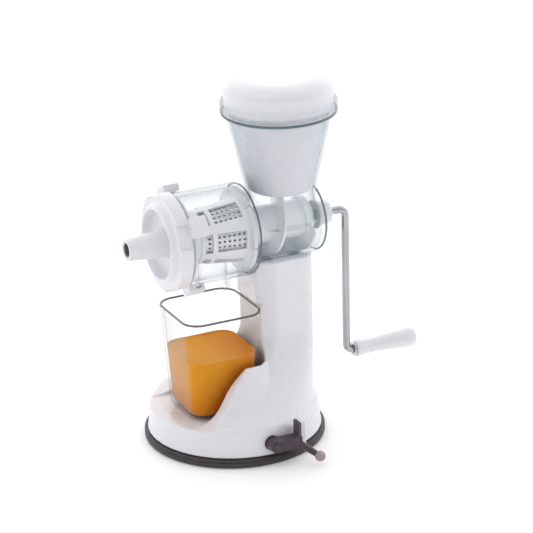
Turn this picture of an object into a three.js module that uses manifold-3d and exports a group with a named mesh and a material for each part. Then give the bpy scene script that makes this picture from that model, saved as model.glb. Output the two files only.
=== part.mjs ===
// A hand-cranked juicer: a clear hopper and barrel with a screw auger and a strainer, on a moulded
// stand with a suction foot and a cup bay. Millimetres. Z is up, and the table is at Z 0. Y runs along
// the barrel, with the pulp nozzle at -Y and the crank at +Y. The suction lever is at +X.
import * as THREE from "three";
import { mergeVertices } from "three/addons/utils/BufferGeometryUtils.js";
import Module from "manifold-3d";

const wasm = await Module();
wasm.setup();

// Overall sizes.
const PAD_RADIUS = 70;
const AXIS_HEIGHT = 166;
const CRANK_THROW = 119;

// Facets around a full turn: large, middling and small pieces.
const LARGE = 36;
const MIDDLING = 28;
const SMALL = 16;
const TINY = 12;

// Fits.
const GAP = 0.3;
const RUNNING = 0.6;
const LOOSE = 1.5;
const THROUGH = 5;

// Suction foot.
const PAD_HEIGHT = 7;
const PAD_FLOOR = 3;
const PAD_RIM_WIDTH = 10;
const FOOT_RADIUS = 12;
const FOOT_SEAT = 2.2;
const LEVER_AXIS = 16.5;
const LEVER_HALF_HEIGHT = 4.8;
const LEVER_WIDTH = 9;
const LEVER_LENGTH = 21;
const BALL_RADIUS = 4.2;
const BALL_HEIGHT = 7.5;
const BALL_REACH = 11;
const TAB_HEIGHT = 11.5;
const TAB_THICKNESS = 2.5;
const SHAFT_RADIUS = 3.2;
const CAM_RADIUS = 4.2;
const CAM_OFFSET = 2.5;
const CAM_HALF_LENGTH = 7;
const CHEEK_INNER = 13;
const CHEEK_WIDTH = 3;
const CLIP_HEADROOM = 0.5;

// Stand.
const WALL = 2.5;
const SKIRT_RADIUS = PAD_RADIUS - 2.5;
const SKIRT_BOTTOM = PAD_HEIGHT + GAP;
const SHOULDER_Z = 28;
const SHOULDER_TOP = 31;
const SHOULDER_RADIUS = SKIRT_RADIUS - 2.2;
const BELL_RADIUS = SKIRT_RADIUS - 5.5;
const BELL_TOP = 84;
const BELL_EASE = 1.6;
const COLUMN_HALF = 24;
const COLUMN_FRONT = 13;
const COLUMN_REAR = 62;
const COLUMN_CORNER = 12;
const COLUMN_DROP = 23;

// Clear body.
const CLEAR_WALL = 2.5;
const DRUM_RADIUS = 36;
const DRUM_FRONT = -42;
const DRUM_REAR = 11.7;
const BARREL_RADIUS = 28;
const BARREL_REAR = 71;
const END_WALL = 5;
const HOPPER_WALL = 1.8;
const THROAT_RADIUS = 25;
const THROAT_RISE = 27;
const MOUTH_RADIUS = 38;
const MOUTH_RISE = 86;
const LIP_RADIUS = 44.5;
const LIP_WALL = 1.7;
const LIP_HEIGHT = 9;
const SPOUT_Y = -15;
const SPOUT_RADIUS = 13;
const SPOUT_LENGTH = 7;
const PIN_REACH = 3;
const PIN_Y = -38;
const PIN_WIDTH = 3;
const BOSS_RADIUS = 4;
const BOSS_LENGTH = 8;
const SCREW_RADIUS = 1.5;
const SCREW_HEAD = 3.4;

// Cup.
const CUP_HALF = 32.4;
const CUP_BASE_HALF = 28;
const CUP_CORNER = 14;
const CUP_WALL = 2;
const CUP_HEADROOM = 15;
const CUP_Y = -18;
const BAY_FLOOR = 26;
const RAMP_ANGLE = THREE.MathUtils.degToRad(8.5);
const HOUSING_Y = -8;
const HOUSING_RISE = 30.5;
const HOUSING_WALL = 6;

// Strainer.
const CAGE_FRONT = -31;
const CAGE_REAR = 5;
const CAGE_FRONT_RADIUS = 20.3;
const CAGE_REAR_RADIUS = 25;
const CAGE_WALL = 2;
const CAGE_COLLAR_RADIUS = 19.5;
const CAGE_RIBS = 6;
const KEYWAY_ANGLE = 50;
const KEYWAY_WIDTH = 1.6;
const SLEEVE_WALL = 0.8;

// Auger and crank.
const AUGER_PITCH = 28;
const AUGER_PHASE_Y = 35;
const CORE_RADIUS = 14.5;
const DRIVE_RADIUS = 5;
const ROD_RADIUS = 3;
const ROD_BEND = 6;
const ROD_Y = 98.7;
const HUB_RADIUS = 8.5;
const HUB_LENGTH = 10.6;
const GRIP_START = 106;
const GRIP_LENGTH = 52;
const GRIP_RADIUS = 7.9;
const GRIP_RECESS = 9;
const SHAFT_OVERLAP = 44;
const HUB_SOCKET = 8;

// Front cap.
const CAP_OVERHANG = 2;
const CAP_RADIUS = DRUM_RADIUS + CAP_OVERHANG;
const CAP_FRONT = -60;
const NOZZLE_TIP = -84.6;
const NOZZLE_RADIUS = 8.4;
const NOZZLE_BORE = 5.6;
const NOZZLE_ROOT = 11;
const LUG_WALL = 2.9;
const LUG_RADIUS = DRUM_RADIUS + PIN_REACH + RUNNING + LUG_WALL;
const LUG_COUNT = 4;
const LUG_ANGLE = 32;
const LUG_SPREAD = 22;
const PAD_SPREAD = 60;
const PAD_START = 7;
const PIN_SPREAD = 6;

// Pusher.
const DOME_RADIUS = 41.3;
const DOME_SIDE = 13;
const DOME_CROWN = 10.5;
const DOME_SHOULDER = 16;

// Places that follow from the sizes above.
const hopperY = BARREL_REAR - THROAT_RADIUS - HOPPER_WALL - GAP;
const barrelBore = BARREL_RADIUS - CLEAR_WALL;
const drumBore = DRUM_RADIUS - CLEAR_WALL - 0.5;
const throatZ = AXIS_HEIGHT + THROAT_RISE;
const mouthZ = AXIS_HEIGHT + MOUTH_RISE;
const lipFloor = mouthZ + 4.2;
const spoutBottom = AXIS_HEIGHT - DRUM_RADIUS - SPOUT_LENGTH;
const cupRim = spoutBottom - CUP_HEADROOM;
const cupBase = BAY_FLOOR + GAP;
const clipRadius = BAY_FLOOR - WALL - CLIP_HEADROOM - LEVER_AXIS;
const bayHalf = CUP_HALF + LOOSE;
const bayRear = CUP_Y + CUP_HALF + LOOSE;
const columnTop = AXIS_HEIGHT - COLUMN_DROP;
const saddleRadius = BARREL_RADIUS + GAP;
const bossBottom = AXIS_HEIGHT - BARREL_RADIUS - BOSS_LENGTH;
const ledgeTop = bossBottom - GAP;
const ledgeBottom = ledgeTop - WALL;
const bossPlaces = [hopperY - 14, hopperY + 10];
const gripZ = AXIS_HEIGHT - CRANK_THROW;
const leverInner = SKIRT_RADIUS - 4.5;
const leverPlate = SKIRT_RADIUS - 0.4;
const leverOuter = leverPlate + LEVER_WIDTH;
const shaftOuter = leverOuter - 3.5;
const boreStart = BARREL_REAR - END_WALL;
const sealFront = boreStart - GAP - 2.4;
const augerRear = sealFront - GAP;
const hubFront = BARREL_REAR + 2.4;
const hubRear = hubFront + HUB_LENGTH;
const capRear = DRUM_FRONT - 2;
const flangeRear = DRUM_REAR - CLEAR_WALL - GAP;
const shaftFront = augerRear - SHAFT_OVERLAP;

// ---- Shapes and solids ------------------------------------------------------------------------

// A closed geometry as a solid that can be joined and cut.
function asSolid(geometry) {
  const bare = geometry.clone();
  bare.deleteAttribute("normal");
  bare.deleteAttribute("uv");
  const merged = mergeVertices(bare, 1e-4);
  const vertProperties = merged.attributes.position.array;
  const triVerts = new Uint32Array(merged.index.array);
  return new wasm.Manifold(new wasm.Mesh({ numProp: 3, vertProperties, triVerts }));
}

function asGeometry(solid) {
  const mesh = solid.getMesh();
  const geometry = new THREE.BufferGeometry();
  geometry.setAttribute("position", new THREE.BufferAttribute(mesh.vertProperties, 3));
  geometry.setIndex(new THREE.BufferAttribute(mesh.triVerts, 1));
  return geometry;
}

function joined(...geometries) {
  return geometries.map(asSolid).reduce((whole, next) => whole.add(next));
}

function cut(solid, ...geometries) {
  return geometries.map(asSolid).reduce((rest, next) => rest.subtract(next), solid);
}

// A body turned about local Y. The profile lists [radius, distance along the axis]. It starts and
// ends on the axis, or it closes on itself.
function turned(profile, segments) {
  const points = profile.map(([radius, along]) => new THREE.Vector2(radius, along));
  if (THREE.ShapeUtils.area(points) < 0) points.reverse();
  return new THREE.LatheGeometry(points, segments);
}

// Turned about the barrel's axis, or about a parallel line at another height.
function turnedAlong(profile, segments, z = AXIS_HEIGHT) {
  return turned(profile, segments).translate(0, 0, z);
}

// Turned about an upright line.
function turnedUpright(profile, segments, y = 0) {
  return turned(profile, segments).rotateX(Math.PI / 2).translate(0, y, 0);
}

// Turned about a line along X.
function turnedAcross(profile, segments, z) {
  return turned(profile, segments).rotateZ(-Math.PI / 2).translate(0, 0, z);
}

function ring(inner, outer, start, end) {
  return [[inner, start], [outer, start], [outer, end], [inner, end], [inner, start]];
}

function disc(radius, start, end) {
  return [[0, start], [radius, start], [radius, end], [0, end]];
}

function block([x0, x1], [y0, y1], [z0, z1]) {
  const centre = [(x0 + x1) / 2, (y0 + y1) / 2, (z0 + z1) / 2];
  return new THREE.BoxGeometry(x1 - x0, y1 - y0, z1 - z0).translate(...centre);
}

// An outline in Y and Z, carried across X.
function across(shape, x0, x1) {
  const options = { depth: x1 - x0, bevelEnabled: false, curveSegments: 6 };
  const turn = new THREE.Matrix4().makeBasis(
    new THREE.Vector3(0, 1, 0),
    new THREE.Vector3(0, 0, 1),
    new THREE.Vector3(1, 0, 0),
  );
  return new THREE.ExtrudeGeometry(shape, options).applyMatrix4(turn).translate(x0, 0, 0);
}

// An outline in X and Z about the barrel's axis, carried along Y.
function alongBarrel(shape, y0, y1, curveSegments = 3) {
  const options = { depth: y1 - y0, bevelEnabled: false, curveSegments };
  return new THREE.ExtrudeGeometry(shape, options)
    .rotateX(Math.PI / 2)
    .translate(0, y1, AXIS_HEIGHT);
}

// A slice of a ring between two angles, in degrees from +X towards +Z.
function sector(inner, outer, from, to, y0, y1) {
  const start = THREE.MathUtils.degToRad(from);
  const end = THREE.MathUtils.degToRad(to);
  const shape = new THREE.Shape();
  shape.absarc(0, 0, outer, start, end, false);
  shape.absarc(0, 0, inner, end, start, true);
  shape.closePath();
  return alongBarrel(shape, y0, y1);
}

// Angles evenly around a turn, in degrees.
function anglesAround(count, start) {
  return Array.from({ length: count }, (_, i) => start + (i * 360) / count);
}

function roundedRectangle([x0, x1], [y0, y1], corner) {
  const shape = new THREE.Shape();
  shape.absarc(x1 - corner, y1 - corner, corner, 0, Math.PI / 2, false);
  shape.absarc(x0 + corner, y1 - corner, corner, Math.PI / 2, Math.PI, false);
  shape.absarc(x0 + corner, y0 + corner, corner, Math.PI, 1.5 * Math.PI, false);
  shape.absarc(x1 - corner, y0 + corner, corner, 1.5 * Math.PI, 2 * Math.PI, false);
  shape.closePath();
  return shape;
}

function upright(shape, z0, z1, curveSegments = 4) {
  const options = { depth: z1 - z0, bevelEnabled: false, curveSegments };
  return new THREE.ExtrudeGeometry(shape, options).translate(0, 0, z0);
}

// ---- Stand ------------------------------------------------------------------------------------

// The column's section, from the middle of its back and round its left side, sloped at the front.
function columnOutline(inset) {
  const half = COLUMN_HALF - inset;
  const rear = COLUMN_REAR - inset;
  const front = COLUMN_FRONT + inset;
  const corner = COLUMN_CORNER - inset;
  const slope = 7;
  const shape = new THREE.Shape();
  shape.moveTo(0, rear);
  shape.absarc(-half + corner, rear - corner, corner, Math.PI / 2, Math.PI, false);
  shape.lineTo(-half, front + 2 * slope);
  shape.lineTo(-half + slope, front);
  shape.lineTo(half - slope, front);
  shape.lineTo(half, front + 2 * slope);
  shape.absarc(half - corner, rear - corner, corner, 0, Math.PI / 2, false);
  shape.closePath();
  return shape;
}

// A bell that is round at the skirt and eases into the column's section. Its rows gather at the foot.
function bell(inset, bottom, top) {
  const sides = 36;
  const rows = 8;
  const height = top - bottom;
  const outline = columnOutline(inset).getSpacedPoints(sides);
  const geometry = new THREE.CylinderGeometry(1, 1, 1, sides, rows).rotateX(Math.PI / 2);
  const place = geometry.attributes.position;
  for (let i = 0; i < place.count; i++) {
    const reach = Math.round(Math.hypot(place.getX(i), place.getY(i)));
    const angle = Math.atan2(-place.getX(i), place.getY(i));
    const side = (Math.round((angle / (2 * Math.PI)) * sides) + sides) % sides;
    const z = bottom + height * (place.getZ(i) + 0.5) ** 1.7;
    const rise = THREE.MathUtils.clamp((z - SHOULDER_TOP) / (BELL_TOP - SHOULDER_TOP), 0, 1);
    const ease = 1 - (1 - rise) ** BELL_EASE;
    const round = BELL_RADIUS - inset;
    const x = THREE.MathUtils.lerp(-round * Math.sin(angle), outline[side].x, ease);
    const y = THREE.MathUtils.lerp(round * Math.cos(angle), outline[side].y, ease);
    const middle = THREE.MathUtils.lerp(0, (COLUMN_FRONT + COLUMN_REAR) / 2, ease);
    place.setXYZ(i, x * reach, y * reach + middle * (1 - reach), z);
  }
  return geometry;
}

// The space in front of the swept land: over the low front deck, up an S, and up the column's face.
function frontSweep(margin) {
  const far = -2 * PAD_RADIUS;
  const deck = BAY_FLOOR + 1.5 - margin;
  const rear = bayRear + margin;
  const shape = new THREE.Shape();
  shape.moveTo(far, deck - 1);
  shape.lineTo(-50 + margin, deck);
  shape.bezierCurveTo(-36 + margin, deck, -31 + margin, deck + 6.5, -25 + margin, deck + 17);
  shape.bezierCurveTo(-13 + margin, deck + 42.5, rear, deck + 44.5, rear, deck + 72.5);
  shape.lineTo(rear, cupRim + 1 + margin);
  shape.lineTo(far, cupRim + 1 + margin);
  shape.closePath();
  return across(shape, -2 * PAD_RADIUS, 2 * PAD_RADIUS);
}

// The bay that the cup stands in, with a floor that ramps up and out at the front.
function cupBay(margin) {
  const far = -2 * PAD_RADIUS;
  const front = CUP_Y - CUP_BASE_HALF - LOOSE;
  const shape = new THREE.Shape();
  shape.moveTo(bayRear + margin, BAY_FLOOR - margin);
  shape.lineTo(bayRear + margin, cupRim + 1 + margin);
  shape.lineTo(far, cupRim + 1 + margin);
  shape.lineTo(far, BAY_FLOOR - margin + (front - far) * Math.tan(RAMP_ANGLE));
  shape.lineTo(front, BAY_FLOOR - margin);
  shape.closePath();
  const half = bayHalf + margin;
  const plan = roundedRectangle([-half, half], [far, bayRear + margin], CUP_CORNER + margin);
  const length = across(shape, -2 * half, 2 * half);
  return asSolid(length).intersect(asSolid(upright(plan, -THROUGH, AXIS_HEIGHT)));
}

// The walls either side of the cup, which carry the land down to the deck.
function cupHousing() {
  const top = SHOULDER_TOP + HOUSING_RISE;
  const radius = bayHalf + HOUSING_WALL;
  return turnedUpright([
    [0, SHOULDER_TOP],
    [BELL_RADIUS - 8, SHOULDER_TOP],
    [radius, top],
    [radius - 3.5, top + 5.5],
    [0, top + 5.5],
  ], LARGE, HOUSING_Y);
}

function skirt() {
  return turnedUpright([
    [0, SKIRT_BOTTOM],
    [SKIRT_RADIUS, SKIRT_BOTTOM],
    [SKIRT_RADIUS, SKIRT_BOTTOM + 1.7],
    [SKIRT_RADIUS - 0.7, SKIRT_BOTTOM + 2.2],
    [SHOULDER_RADIUS, SHOULDER_Z],
    [SHOULDER_RADIUS - 1, SHOULDER_Z + 1.8],
    [BELL_RADIUS - 0.2, SHOULDER_TOP + 0.6],
    [0, SHOULDER_TOP + 0.6],
  ], LARGE);
}

// The mechanism's room inside: under the shoulder, up the bell, and kept clear of bay and land.
function standHollow() {
  const room = turnedUpright(disc(SKIRT_RADIUS - WALL - 2.2, 0, SHOULDER_Z - WALL), LARGE);
  const hollow = joined(room, bell(WALL, SHOULDER_Z - WALL - 1, ledgeBottom));
  return cut(hollow, frontSweep(WALL)).subtract(cupBay(WALL));
}

// The wall behind the lever's hub, and the two cheeks that carry the cam shaft.
function shaftSupports() {
  const wallLength = [-12, LEVER_LENGTH + 9];
  const wall = block([leverInner - 3, SKIRT_RADIUS - 3], wallLength, [SKIRT_BOTTOM, SHOULDER_Z - 1]);
  const cheek = CHEEK_INNER + CHEEK_WIDTH;
  const span = [SKIRT_BOTTOM + 1, BAY_FLOOR - 1];
  const right = block([CHEEK_INNER, cheek], [-9, 9], span);
  const left = block([-cheek, -CHEEK_INNER], [-9, 9], span);
  return joined(wall, right, left);
}

function standShell() {
  const outside = joined(skirt(), bell(0, SHOULDER_TOP, columnTop), cupHousing());
  const cleared = cut(outside, frontSweep(0)).subtract(cupBay(0));
  const shell = cleared.subtract(standHollow()).add(shaftSupports());
  const saddle = turnedAlong(disc(saddleRadius, -THROUGH, BARREL_REAR + THROUGH), MIDDLING);
  const hubHole = disc(LEVER_HALF_HEIGHT + RUNNING, leverInner - GAP, PAD_RADIUS + THROUGH);
  const hub = turnedAcross(hubHole, SMALL, LEVER_AXIS);
  const shaftHole = disc(SHAFT_RADIUS + GAP, -CHEEK_INNER - THROUGH, PAD_RADIUS);
  const shaft = turnedAcross(shaftHole, SMALL, LEVER_AXIS);
  const sockets = bossPlaces.flatMap((y) => [
    turnedUpright(disc(BOSS_RADIUS + GAP, ledgeTop, AXIS_HEIGHT), SMALL, y),
    turnedUpright(disc(SCREW_RADIUS + GAP, ledgeBottom - 1, AXIS_HEIGHT), TINY, y),
  ]);
  return cut(shell, saddle, hub, shaft, ...sockets);
}

// A screw up through the saddle's ledge into one of the barrel's bosses.
function bodyScrew(y) {
  const head = ledgeBottom - GAP;
  return asSolid(turnedUpright([
    [0, head - 2],
    [SCREW_HEAD, head - 2],
    [SCREW_HEAD, head],
    [SCREW_RADIUS, head],
    [SCREW_RADIUS, bossBottom + BOSS_LENGTH - 2],
    [0, bossBottom + BOSS_LENGTH - 2],
  ], TINY, y));
}

// ---- Suction foot -----------------------------------------------------------------------------

function suctionPad() {
  const rim = PAD_RADIUS - PAD_RIM_WIDTH;
  return turnedUpright([
    [0, 0],
    [PAD_RADIUS - 1.5, 0],
    [PAD_RADIUS, 1.5],
    [PAD_RADIUS, PAD_HEIGHT - 1],
    [PAD_RADIUS - 1, PAD_HEIGHT],
    [rim, PAD_HEIGHT],
    [rim - 2, PAD_FLOOR],
    [FOOT_RADIUS + 5, PAD_FLOOR],
    [FOOT_RADIUS + 4, PAD_FLOOR + 2.5],
    [FOOT_RADIUS + GAP, PAD_FLOOR + 2.5],
    [FOOT_RADIUS + GAP, FOOT_SEAT],
    [0, FOOT_SEAT],
  ], LARGE);
}

// The stud that pulls the pad's middle up: a round foot and a slotted eye around the cam.
function suctionStud() {
  const footTop = FOOT_SEAT + GAP + 2.4;
  const foot = turnedUpright(disc(FOOT_RADIUS, FOOT_SEAT + GAP, footTop), SMALL);
  const camLow = LEVER_AXIS - CAM_OFFSET - CAM_RADIUS;
  const camHigh = LEVER_AXIS - CAM_OFFSET + CAM_RADIUS;
  const slotHalf = CAM_RADIUS + CAM_OFFSET + RUNNING;
  const post = block([-6, 6], [-slotHalf - 2, slotHalf + 2], [footTop - 0.5, camHigh + 2.2]);
  const slot = block([-7, 7], [-slotHalf, slotHalf], [camLow - 1, camHigh + GAP]);
  return cut(joined(foot, post), slot);
}

// Two journals with a crank pin between them, which lifts the stud.
function camShaft() {
  const web = CAM_HALF_LENGTH - RUNNING;
  const inner = -CHEEK_INNER - CHEEK_WIDTH - 4;
  const left = turnedAcross(disc(SHAFT_RADIUS, inner, -web), SMALL, LEVER_AXIS);
  const right = turnedAcross(disc(SHAFT_RADIUS, web, shaftOuter), SMALL, LEVER_AXIS);
  const crankPin = disc(CAM_RADIUS, -CAM_HALF_LENGTH, CAM_HALF_LENGTH);
  const cam = turnedAcross(crankPin, SMALL, LEVER_AXIS - CAM_OFFSET);
  const thread = turnedAcross(disc(SCREW_RADIUS + GAP, leverOuter - 12, leverOuter), TINY, LEVER_AXIS);
  return cut(joined(left, right, cam), thread);
}

// A snap ring with an open mouth, on the shaft's inner end. It reaches up to the room under the bay.
function shaftClip() {
  const inner = SHAFT_RADIUS + GAP;
  const shape = new THREE.Shape();
  shape.absarc(0, LEVER_AXIS, clipRadius, -1.1, Math.PI + 1.1, false);
  shape.absarc(0, LEVER_AXIS, inner, Math.PI + 1.1, -1.1, true);
  shape.closePath();
  const start = -CHEEK_INNER - CHEEK_WIDTH - GAP;
  return asSolid(across(shape, start - 1.2, start));
}

// A straight tapered bar between two points.
function bar(from, to, radius, endRadius) {
  const along = to.clone().sub(from);
  const upward = new THREE.Vector3(0, 1, 0);
  const turn = new THREE.Quaternion().setFromUnitVectors(upward, along.clone().normalize());
  const middle = from.clone().lerp(to, 0.5);
  return new THREE.CylinderGeometry(endRadius, radius, along.length(), TINY)
    .applyQuaternion(turn)
    .translate(...middle);
}

// A round hub with a block along the skirt, a thumb tab across it, and an arm out to a ball.
function lever() {
  const low = LEVER_AXIS - LEVER_HALF_HEIGHT;
  const high = LEVER_AXIS + LEVER_HALF_HEIGHT;
  const tabEnd = LEVER_LENGTH - 1;
  const hub = turnedAcross(disc(LEVER_HALF_HEIGHT, leverInner, leverOuter), SMALL, LEVER_AXIS);
  const plate = block([leverPlate, leverOuter], [0, LEVER_LENGTH], [low, high]);
  const tabWidth = [leverPlate, leverOuter];
  const tab = block(tabWidth, [tabEnd - TAB_THICKNESS, tabEnd], [high - 1, high + TAB_HEIGHT]);
  const root = new THREE.Vector3(leverOuter - 3, LEVER_LENGTH - 2, LEVER_AXIS - 1.5);
  const ball = new THREE.Vector3(leverOuter + BALL_REACH, LEVER_LENGTH + 9, BALL_HEIGHT);
  const arm = bar(root, ball, 3, 2.2);
  const knob = new THREE.SphereGeometry(BALL_RADIUS, TINY, 8).translate(...ball);
  const socket = turnedAcross(disc(SHAFT_RADIUS + GAP, 0, shaftOuter + GAP), SMALL, LEVER_AXIS);
  const hole = turnedAcross(disc(SCREW_RADIUS + GAP, 0, leverOuter + 1), TINY, LEVER_AXIS);
  return cut(joined(hub, plate, tab, arm, knob), socket, hole);
}

function leverScrew() {
  return asSolid(turnedAcross([
    [0, leverOuter - 11],
    [SCREW_RADIUS, leverOuter - 11],
    [SCREW_RADIUS, leverOuter + GAP],
    [SCREW_HEAD, leverOuter + GAP],
    [SCREW_HEAD - 0.6, leverOuter + 2],
    [0, leverOuter + 2],
  ], SMALL, LEVER_AXIS));
}

// ---- Clear body -------------------------------------------------------------------------------

// One of the pins that the cap's lugs hook over.
function bayonetPin(angle) {
  const half = PIN_SPREAD / 2;
  const y0 = PIN_Y - PIN_WIDTH / 2;
  const outer = DRUM_RADIUS + PIN_REACH;
  return sector(DRUM_RADIUS - 1, outer, angle - half, angle + half, y0, y0 + PIN_WIDTH);
}

function bodyOutside() {
  const drumAndBarrel = turnedAlong([
    [0, DRUM_FRONT],
    [DRUM_RADIUS, DRUM_FRONT],
    [DRUM_RADIUS, DRUM_REAR - 2],
    [DRUM_RADIUS - 2, DRUM_REAR],
    [BARREL_RADIUS, DRUM_REAR],
    [BARREL_RADIUS, BARREL_REAR - 3],
    [BARREL_RADIUS - 1, BARREL_REAR - 1],
    [BARREL_RADIUS - 3, BARREL_REAR],
    [0, BARREL_REAR],
  ], MIDDLING);
  const hopper = turnedUpright([
    [0, AXIS_HEIGHT],
    [THROAT_RADIUS + HOPPER_WALL, AXIS_HEIGHT],
    [THROAT_RADIUS + HOPPER_WALL, throatZ],
    [MOUTH_RADIUS + HOPPER_WALL, mouthZ],
    [LIP_RADIUS, lipFloor - 1.8],
    [LIP_RADIUS, lipFloor + LIP_HEIGHT - 2],
    [0, lipFloor + LIP_HEIGHT - 2],
  ], MIDDLING, hopperY);
  const spoutTube = disc(SPOUT_RADIUS, spoutBottom, AXIS_HEIGHT - drumBore + 4);
  const spout = turnedUpright(spoutTube, SMALL, SPOUT_Y);
  const bosses = bossPlaces.map((y) =>
    turnedUpright(disc(BOSS_RADIUS, bossBottom, AXIS_HEIGHT - barrelBore - 0.5), SMALL, y),
  );
  const pins = anglesAround(LUG_COUNT, LUG_ANGLE).map(bayonetPin);
  return joined(drumAndBarrel, hopper, spout, ...bosses, ...pins);
}

function juicerBody() {
  const drum = turnedAlong(disc(drumBore, DRUM_FRONT - THROUGH, DRUM_REAR - CLEAR_WALL), MIDDLING);
  const barrel = turnedAlong(disc(barrelBore, 0, boreStart), MIDDLING);
  const end = turnedAlong(disc(DRIVE_RADIUS + 3.5, 0, BARREL_REAR + THROUGH), SMALL);
  const hopper = turnedUpright([
    [0, AXIS_HEIGHT],
    [THROAT_RADIUS, AXIS_HEIGHT],
    [THROAT_RADIUS, throatZ],
    [MOUTH_RADIUS, mouthZ],
    [MOUTH_RADIUS, lipFloor],
    [LIP_RADIUS - LIP_WALL, lipFloor],
    [LIP_RADIUS - LIP_WALL, lipFloor + LIP_HEIGHT],
    [0, lipFloor + LIP_HEIGHT],
  ], MIDDLING, hopperY);
  const spout = turnedUpright(disc(SPOUT_RADIUS - 2, spoutBottom - 1, AXIS_HEIGHT - 20), SMALL, SPOUT_Y);
  const threads = bossPlaces.map((y) =>
    turnedUpright(disc(SCREW_RADIUS + GAP, bossBottom - 1, bossBottom + BOSS_LENGTH - 1), TINY, y),
  );
  return cut(bodyOutside(), drum, barrel, end, hopper, spout, ...threads);
}

function shaftBush() {
  const inner = DRIVE_RADIUS + GAP;
  const sleeve = DRIVE_RADIUS + 3.5 - GAP;
  return asSolid(turnedAlong([
    [inner, boreStart + GAP],
    [sleeve, boreStart + GAP],
    [sleeve, BARREL_REAR + GAP],
    [sleeve + 3, BARREL_REAR + GAP],
    [sleeve + 3, BARREL_REAR + 2],
    [inner, BARREL_REAR + 2],
    [inner, boreStart + GAP],
  ], SMALL));
}

function capGasket() {
  const section = ring(drumBore + GAP, DRUM_RADIUS - GAP, capRear + GAP, DRUM_FRONT - GAP);
  return asSolid(turnedAlong(section, MIDDLING));
}

// ---- Strainer ---------------------------------------------------------------------------------

function cageRadius(y) {
  const share = (y - CAGE_FRONT) / (CAGE_REAR - CAGE_FRONT);
  return THREE.MathUtils.lerp(CAGE_FRONT_RADIUS, CAGE_REAR_RADIUS, share);
}

function cageWindow(angle, y0, y1) {
  const width = 15;
  return block([10, CAGE_REAR_RADIUS + 3], [y0, y1], [-width / 2, width / 2])
    .rotateY(THREE.MathUtils.degToRad(angle))
    .translate(0, 0, AXIS_HEIGHT);
}

function strainerFrame() {
  const flangeRadius = drumBore - GAP;
  const collarFront = capRear + 0.6;
  const cage = asSolid(turnedAlong([
    [CAGE_COLLAR_RADIUS, collarFront],
    [CAGE_COLLAR_RADIUS, CAGE_FRONT - 1],
    [CAGE_FRONT_RADIUS, CAGE_FRONT],
    [CAGE_REAR_RADIUS, CAGE_REAR],
    [flangeRadius, CAGE_REAR + 0.8],
    [flangeRadius, flangeRear],
    [CAGE_REAR_RADIUS - CAGE_WALL, flangeRear],
    [CAGE_REAR_RADIUS - CAGE_WALL, CAGE_REAR],
    [CAGE_FRONT_RADIUS - CAGE_WALL, CAGE_FRONT],
    [CAGE_COLLAR_RADIUS - CAGE_WALL - 0.5, CAGE_FRONT - 1],
    [CAGE_COLLAR_RADIUS - CAGE_WALL - 0.5, collarFront],
    [CAGE_COLLAR_RADIUS, collarFront],
  ], MIDDLING));
  const windows = anglesAround(CAGE_RIBS, 0).flatMap((angle) => [
    cageWindow(angle, CAGE_REAR - 24, CAGE_REAR - 1.5),
    cageWindow(angle, CAGE_FRONT + 2.5, CAGE_REAR - 27.5),
  ]);
  const half = KEYWAY_WIDTH / 2;
  const keyways = anglesAround(CAGE_RIBS, KEYWAY_ANGLE).map((angle) =>
    block([flangeRadius - 5, flangeRadius + 1], [CAGE_REAR, flangeRear + 1], [-half, half])
      .rotateY(-THREE.MathUtils.degToRad(angle))
      .translate(0, 0, AXIS_HEIGHT),
  );
  return cut(cage, ...windows, ...keyways);
}

// The perforated sheet inside the cage. Its holes are too fine to model as solids.
function strainerMesh() {
  const front = CAGE_FRONT + 0.5;
  const rear = CAGE_REAR - 0.5;
  const skin = CAGE_WALL + GAP;
  return asSolid(turnedAlong([
    [cageRadius(front) - skin, front],
    [cageRadius(rear) - skin, rear],
    [cageRadius(rear) - skin - SLEEVE_WALL, rear],
    [cageRadius(front) - skin - SLEEVE_WALL, front],
    [cageRadius(front) - skin, front],
  ], MIDDLING));
}

// ---- Auger and crank --------------------------------------------------------------------------

// The auger's section: a round core with one broad tooth that winds into the flight.
function augerSection(core, flight) {
  const root = 0.5;
  const tip = 0.26;
  const shape = new THREE.Shape();
  shape.absarc(0, 0, core, root, 2 * Math.PI - root, false);
  shape.absarc(0, 0, flight, -tip, tip, false);
  shape.closePath();
  return shape;
}

// The flight winds left-handed and shrinks where the auger runs inside the strainer.
function auger() {
  const flight = barrelBore - RUNNING;
  const front = CAGE_FRONT;
  const rear = augerRear - 2;
  const steps = Math.round(((rear - front) / AUGER_PITCH) * 12);
  const options = { depth: rear - front, steps, bevelEnabled: false, curveSegments: 4 };
  const screw = new THREE.ExtrudeGeometry(augerSection(CORE_RADIUS, flight), options);
  screw.rotateX(Math.PI / 2).translate(0, rear, 0);
  const place = screw.attributes.position;
  for (let i = 0; i < place.count; i++) {
    const y = place.getY(i);
    const angle = (2 * Math.PI * (y - AUGER_PHASE_Y)) / AUGER_PITCH;
    const inStrainer = y < DRUM_REAR - CLEAR_WALL;
    const room = cageRadius(Math.min(y, CAGE_REAR)) - CAGE_WALL - SLEEVE_WALL - 2 * RUNNING;
    const scale = inStrainer ? Math.min(room / flight, 1) : 1;
    const x = place.getX(i) * Math.cos(angle) - place.getZ(i) * Math.sin(angle);
    const z = place.getZ(i) * Math.cos(angle) + place.getX(i) * Math.sin(angle);
    place.setXYZ(i, x * scale, y, z * scale);
  }
  screw.translate(0, 0, AXIS_HEIGHT);
  const nose = turnedAlong([[0, capRear], [3.5, capRear], [9, front + 1], [0, front + 1]], SMALL);
  const collar = turnedAlong(disc(CORE_RADIUS + 2, rear - 3, augerRear), SMALL);
  const bore = turnedAlong(disc(DRIVE_RADIUS + GAP, shaftFront, augerRear + 1), SMALL);
  return cut(joined(screw, nose, collar), bore);
}

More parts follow.
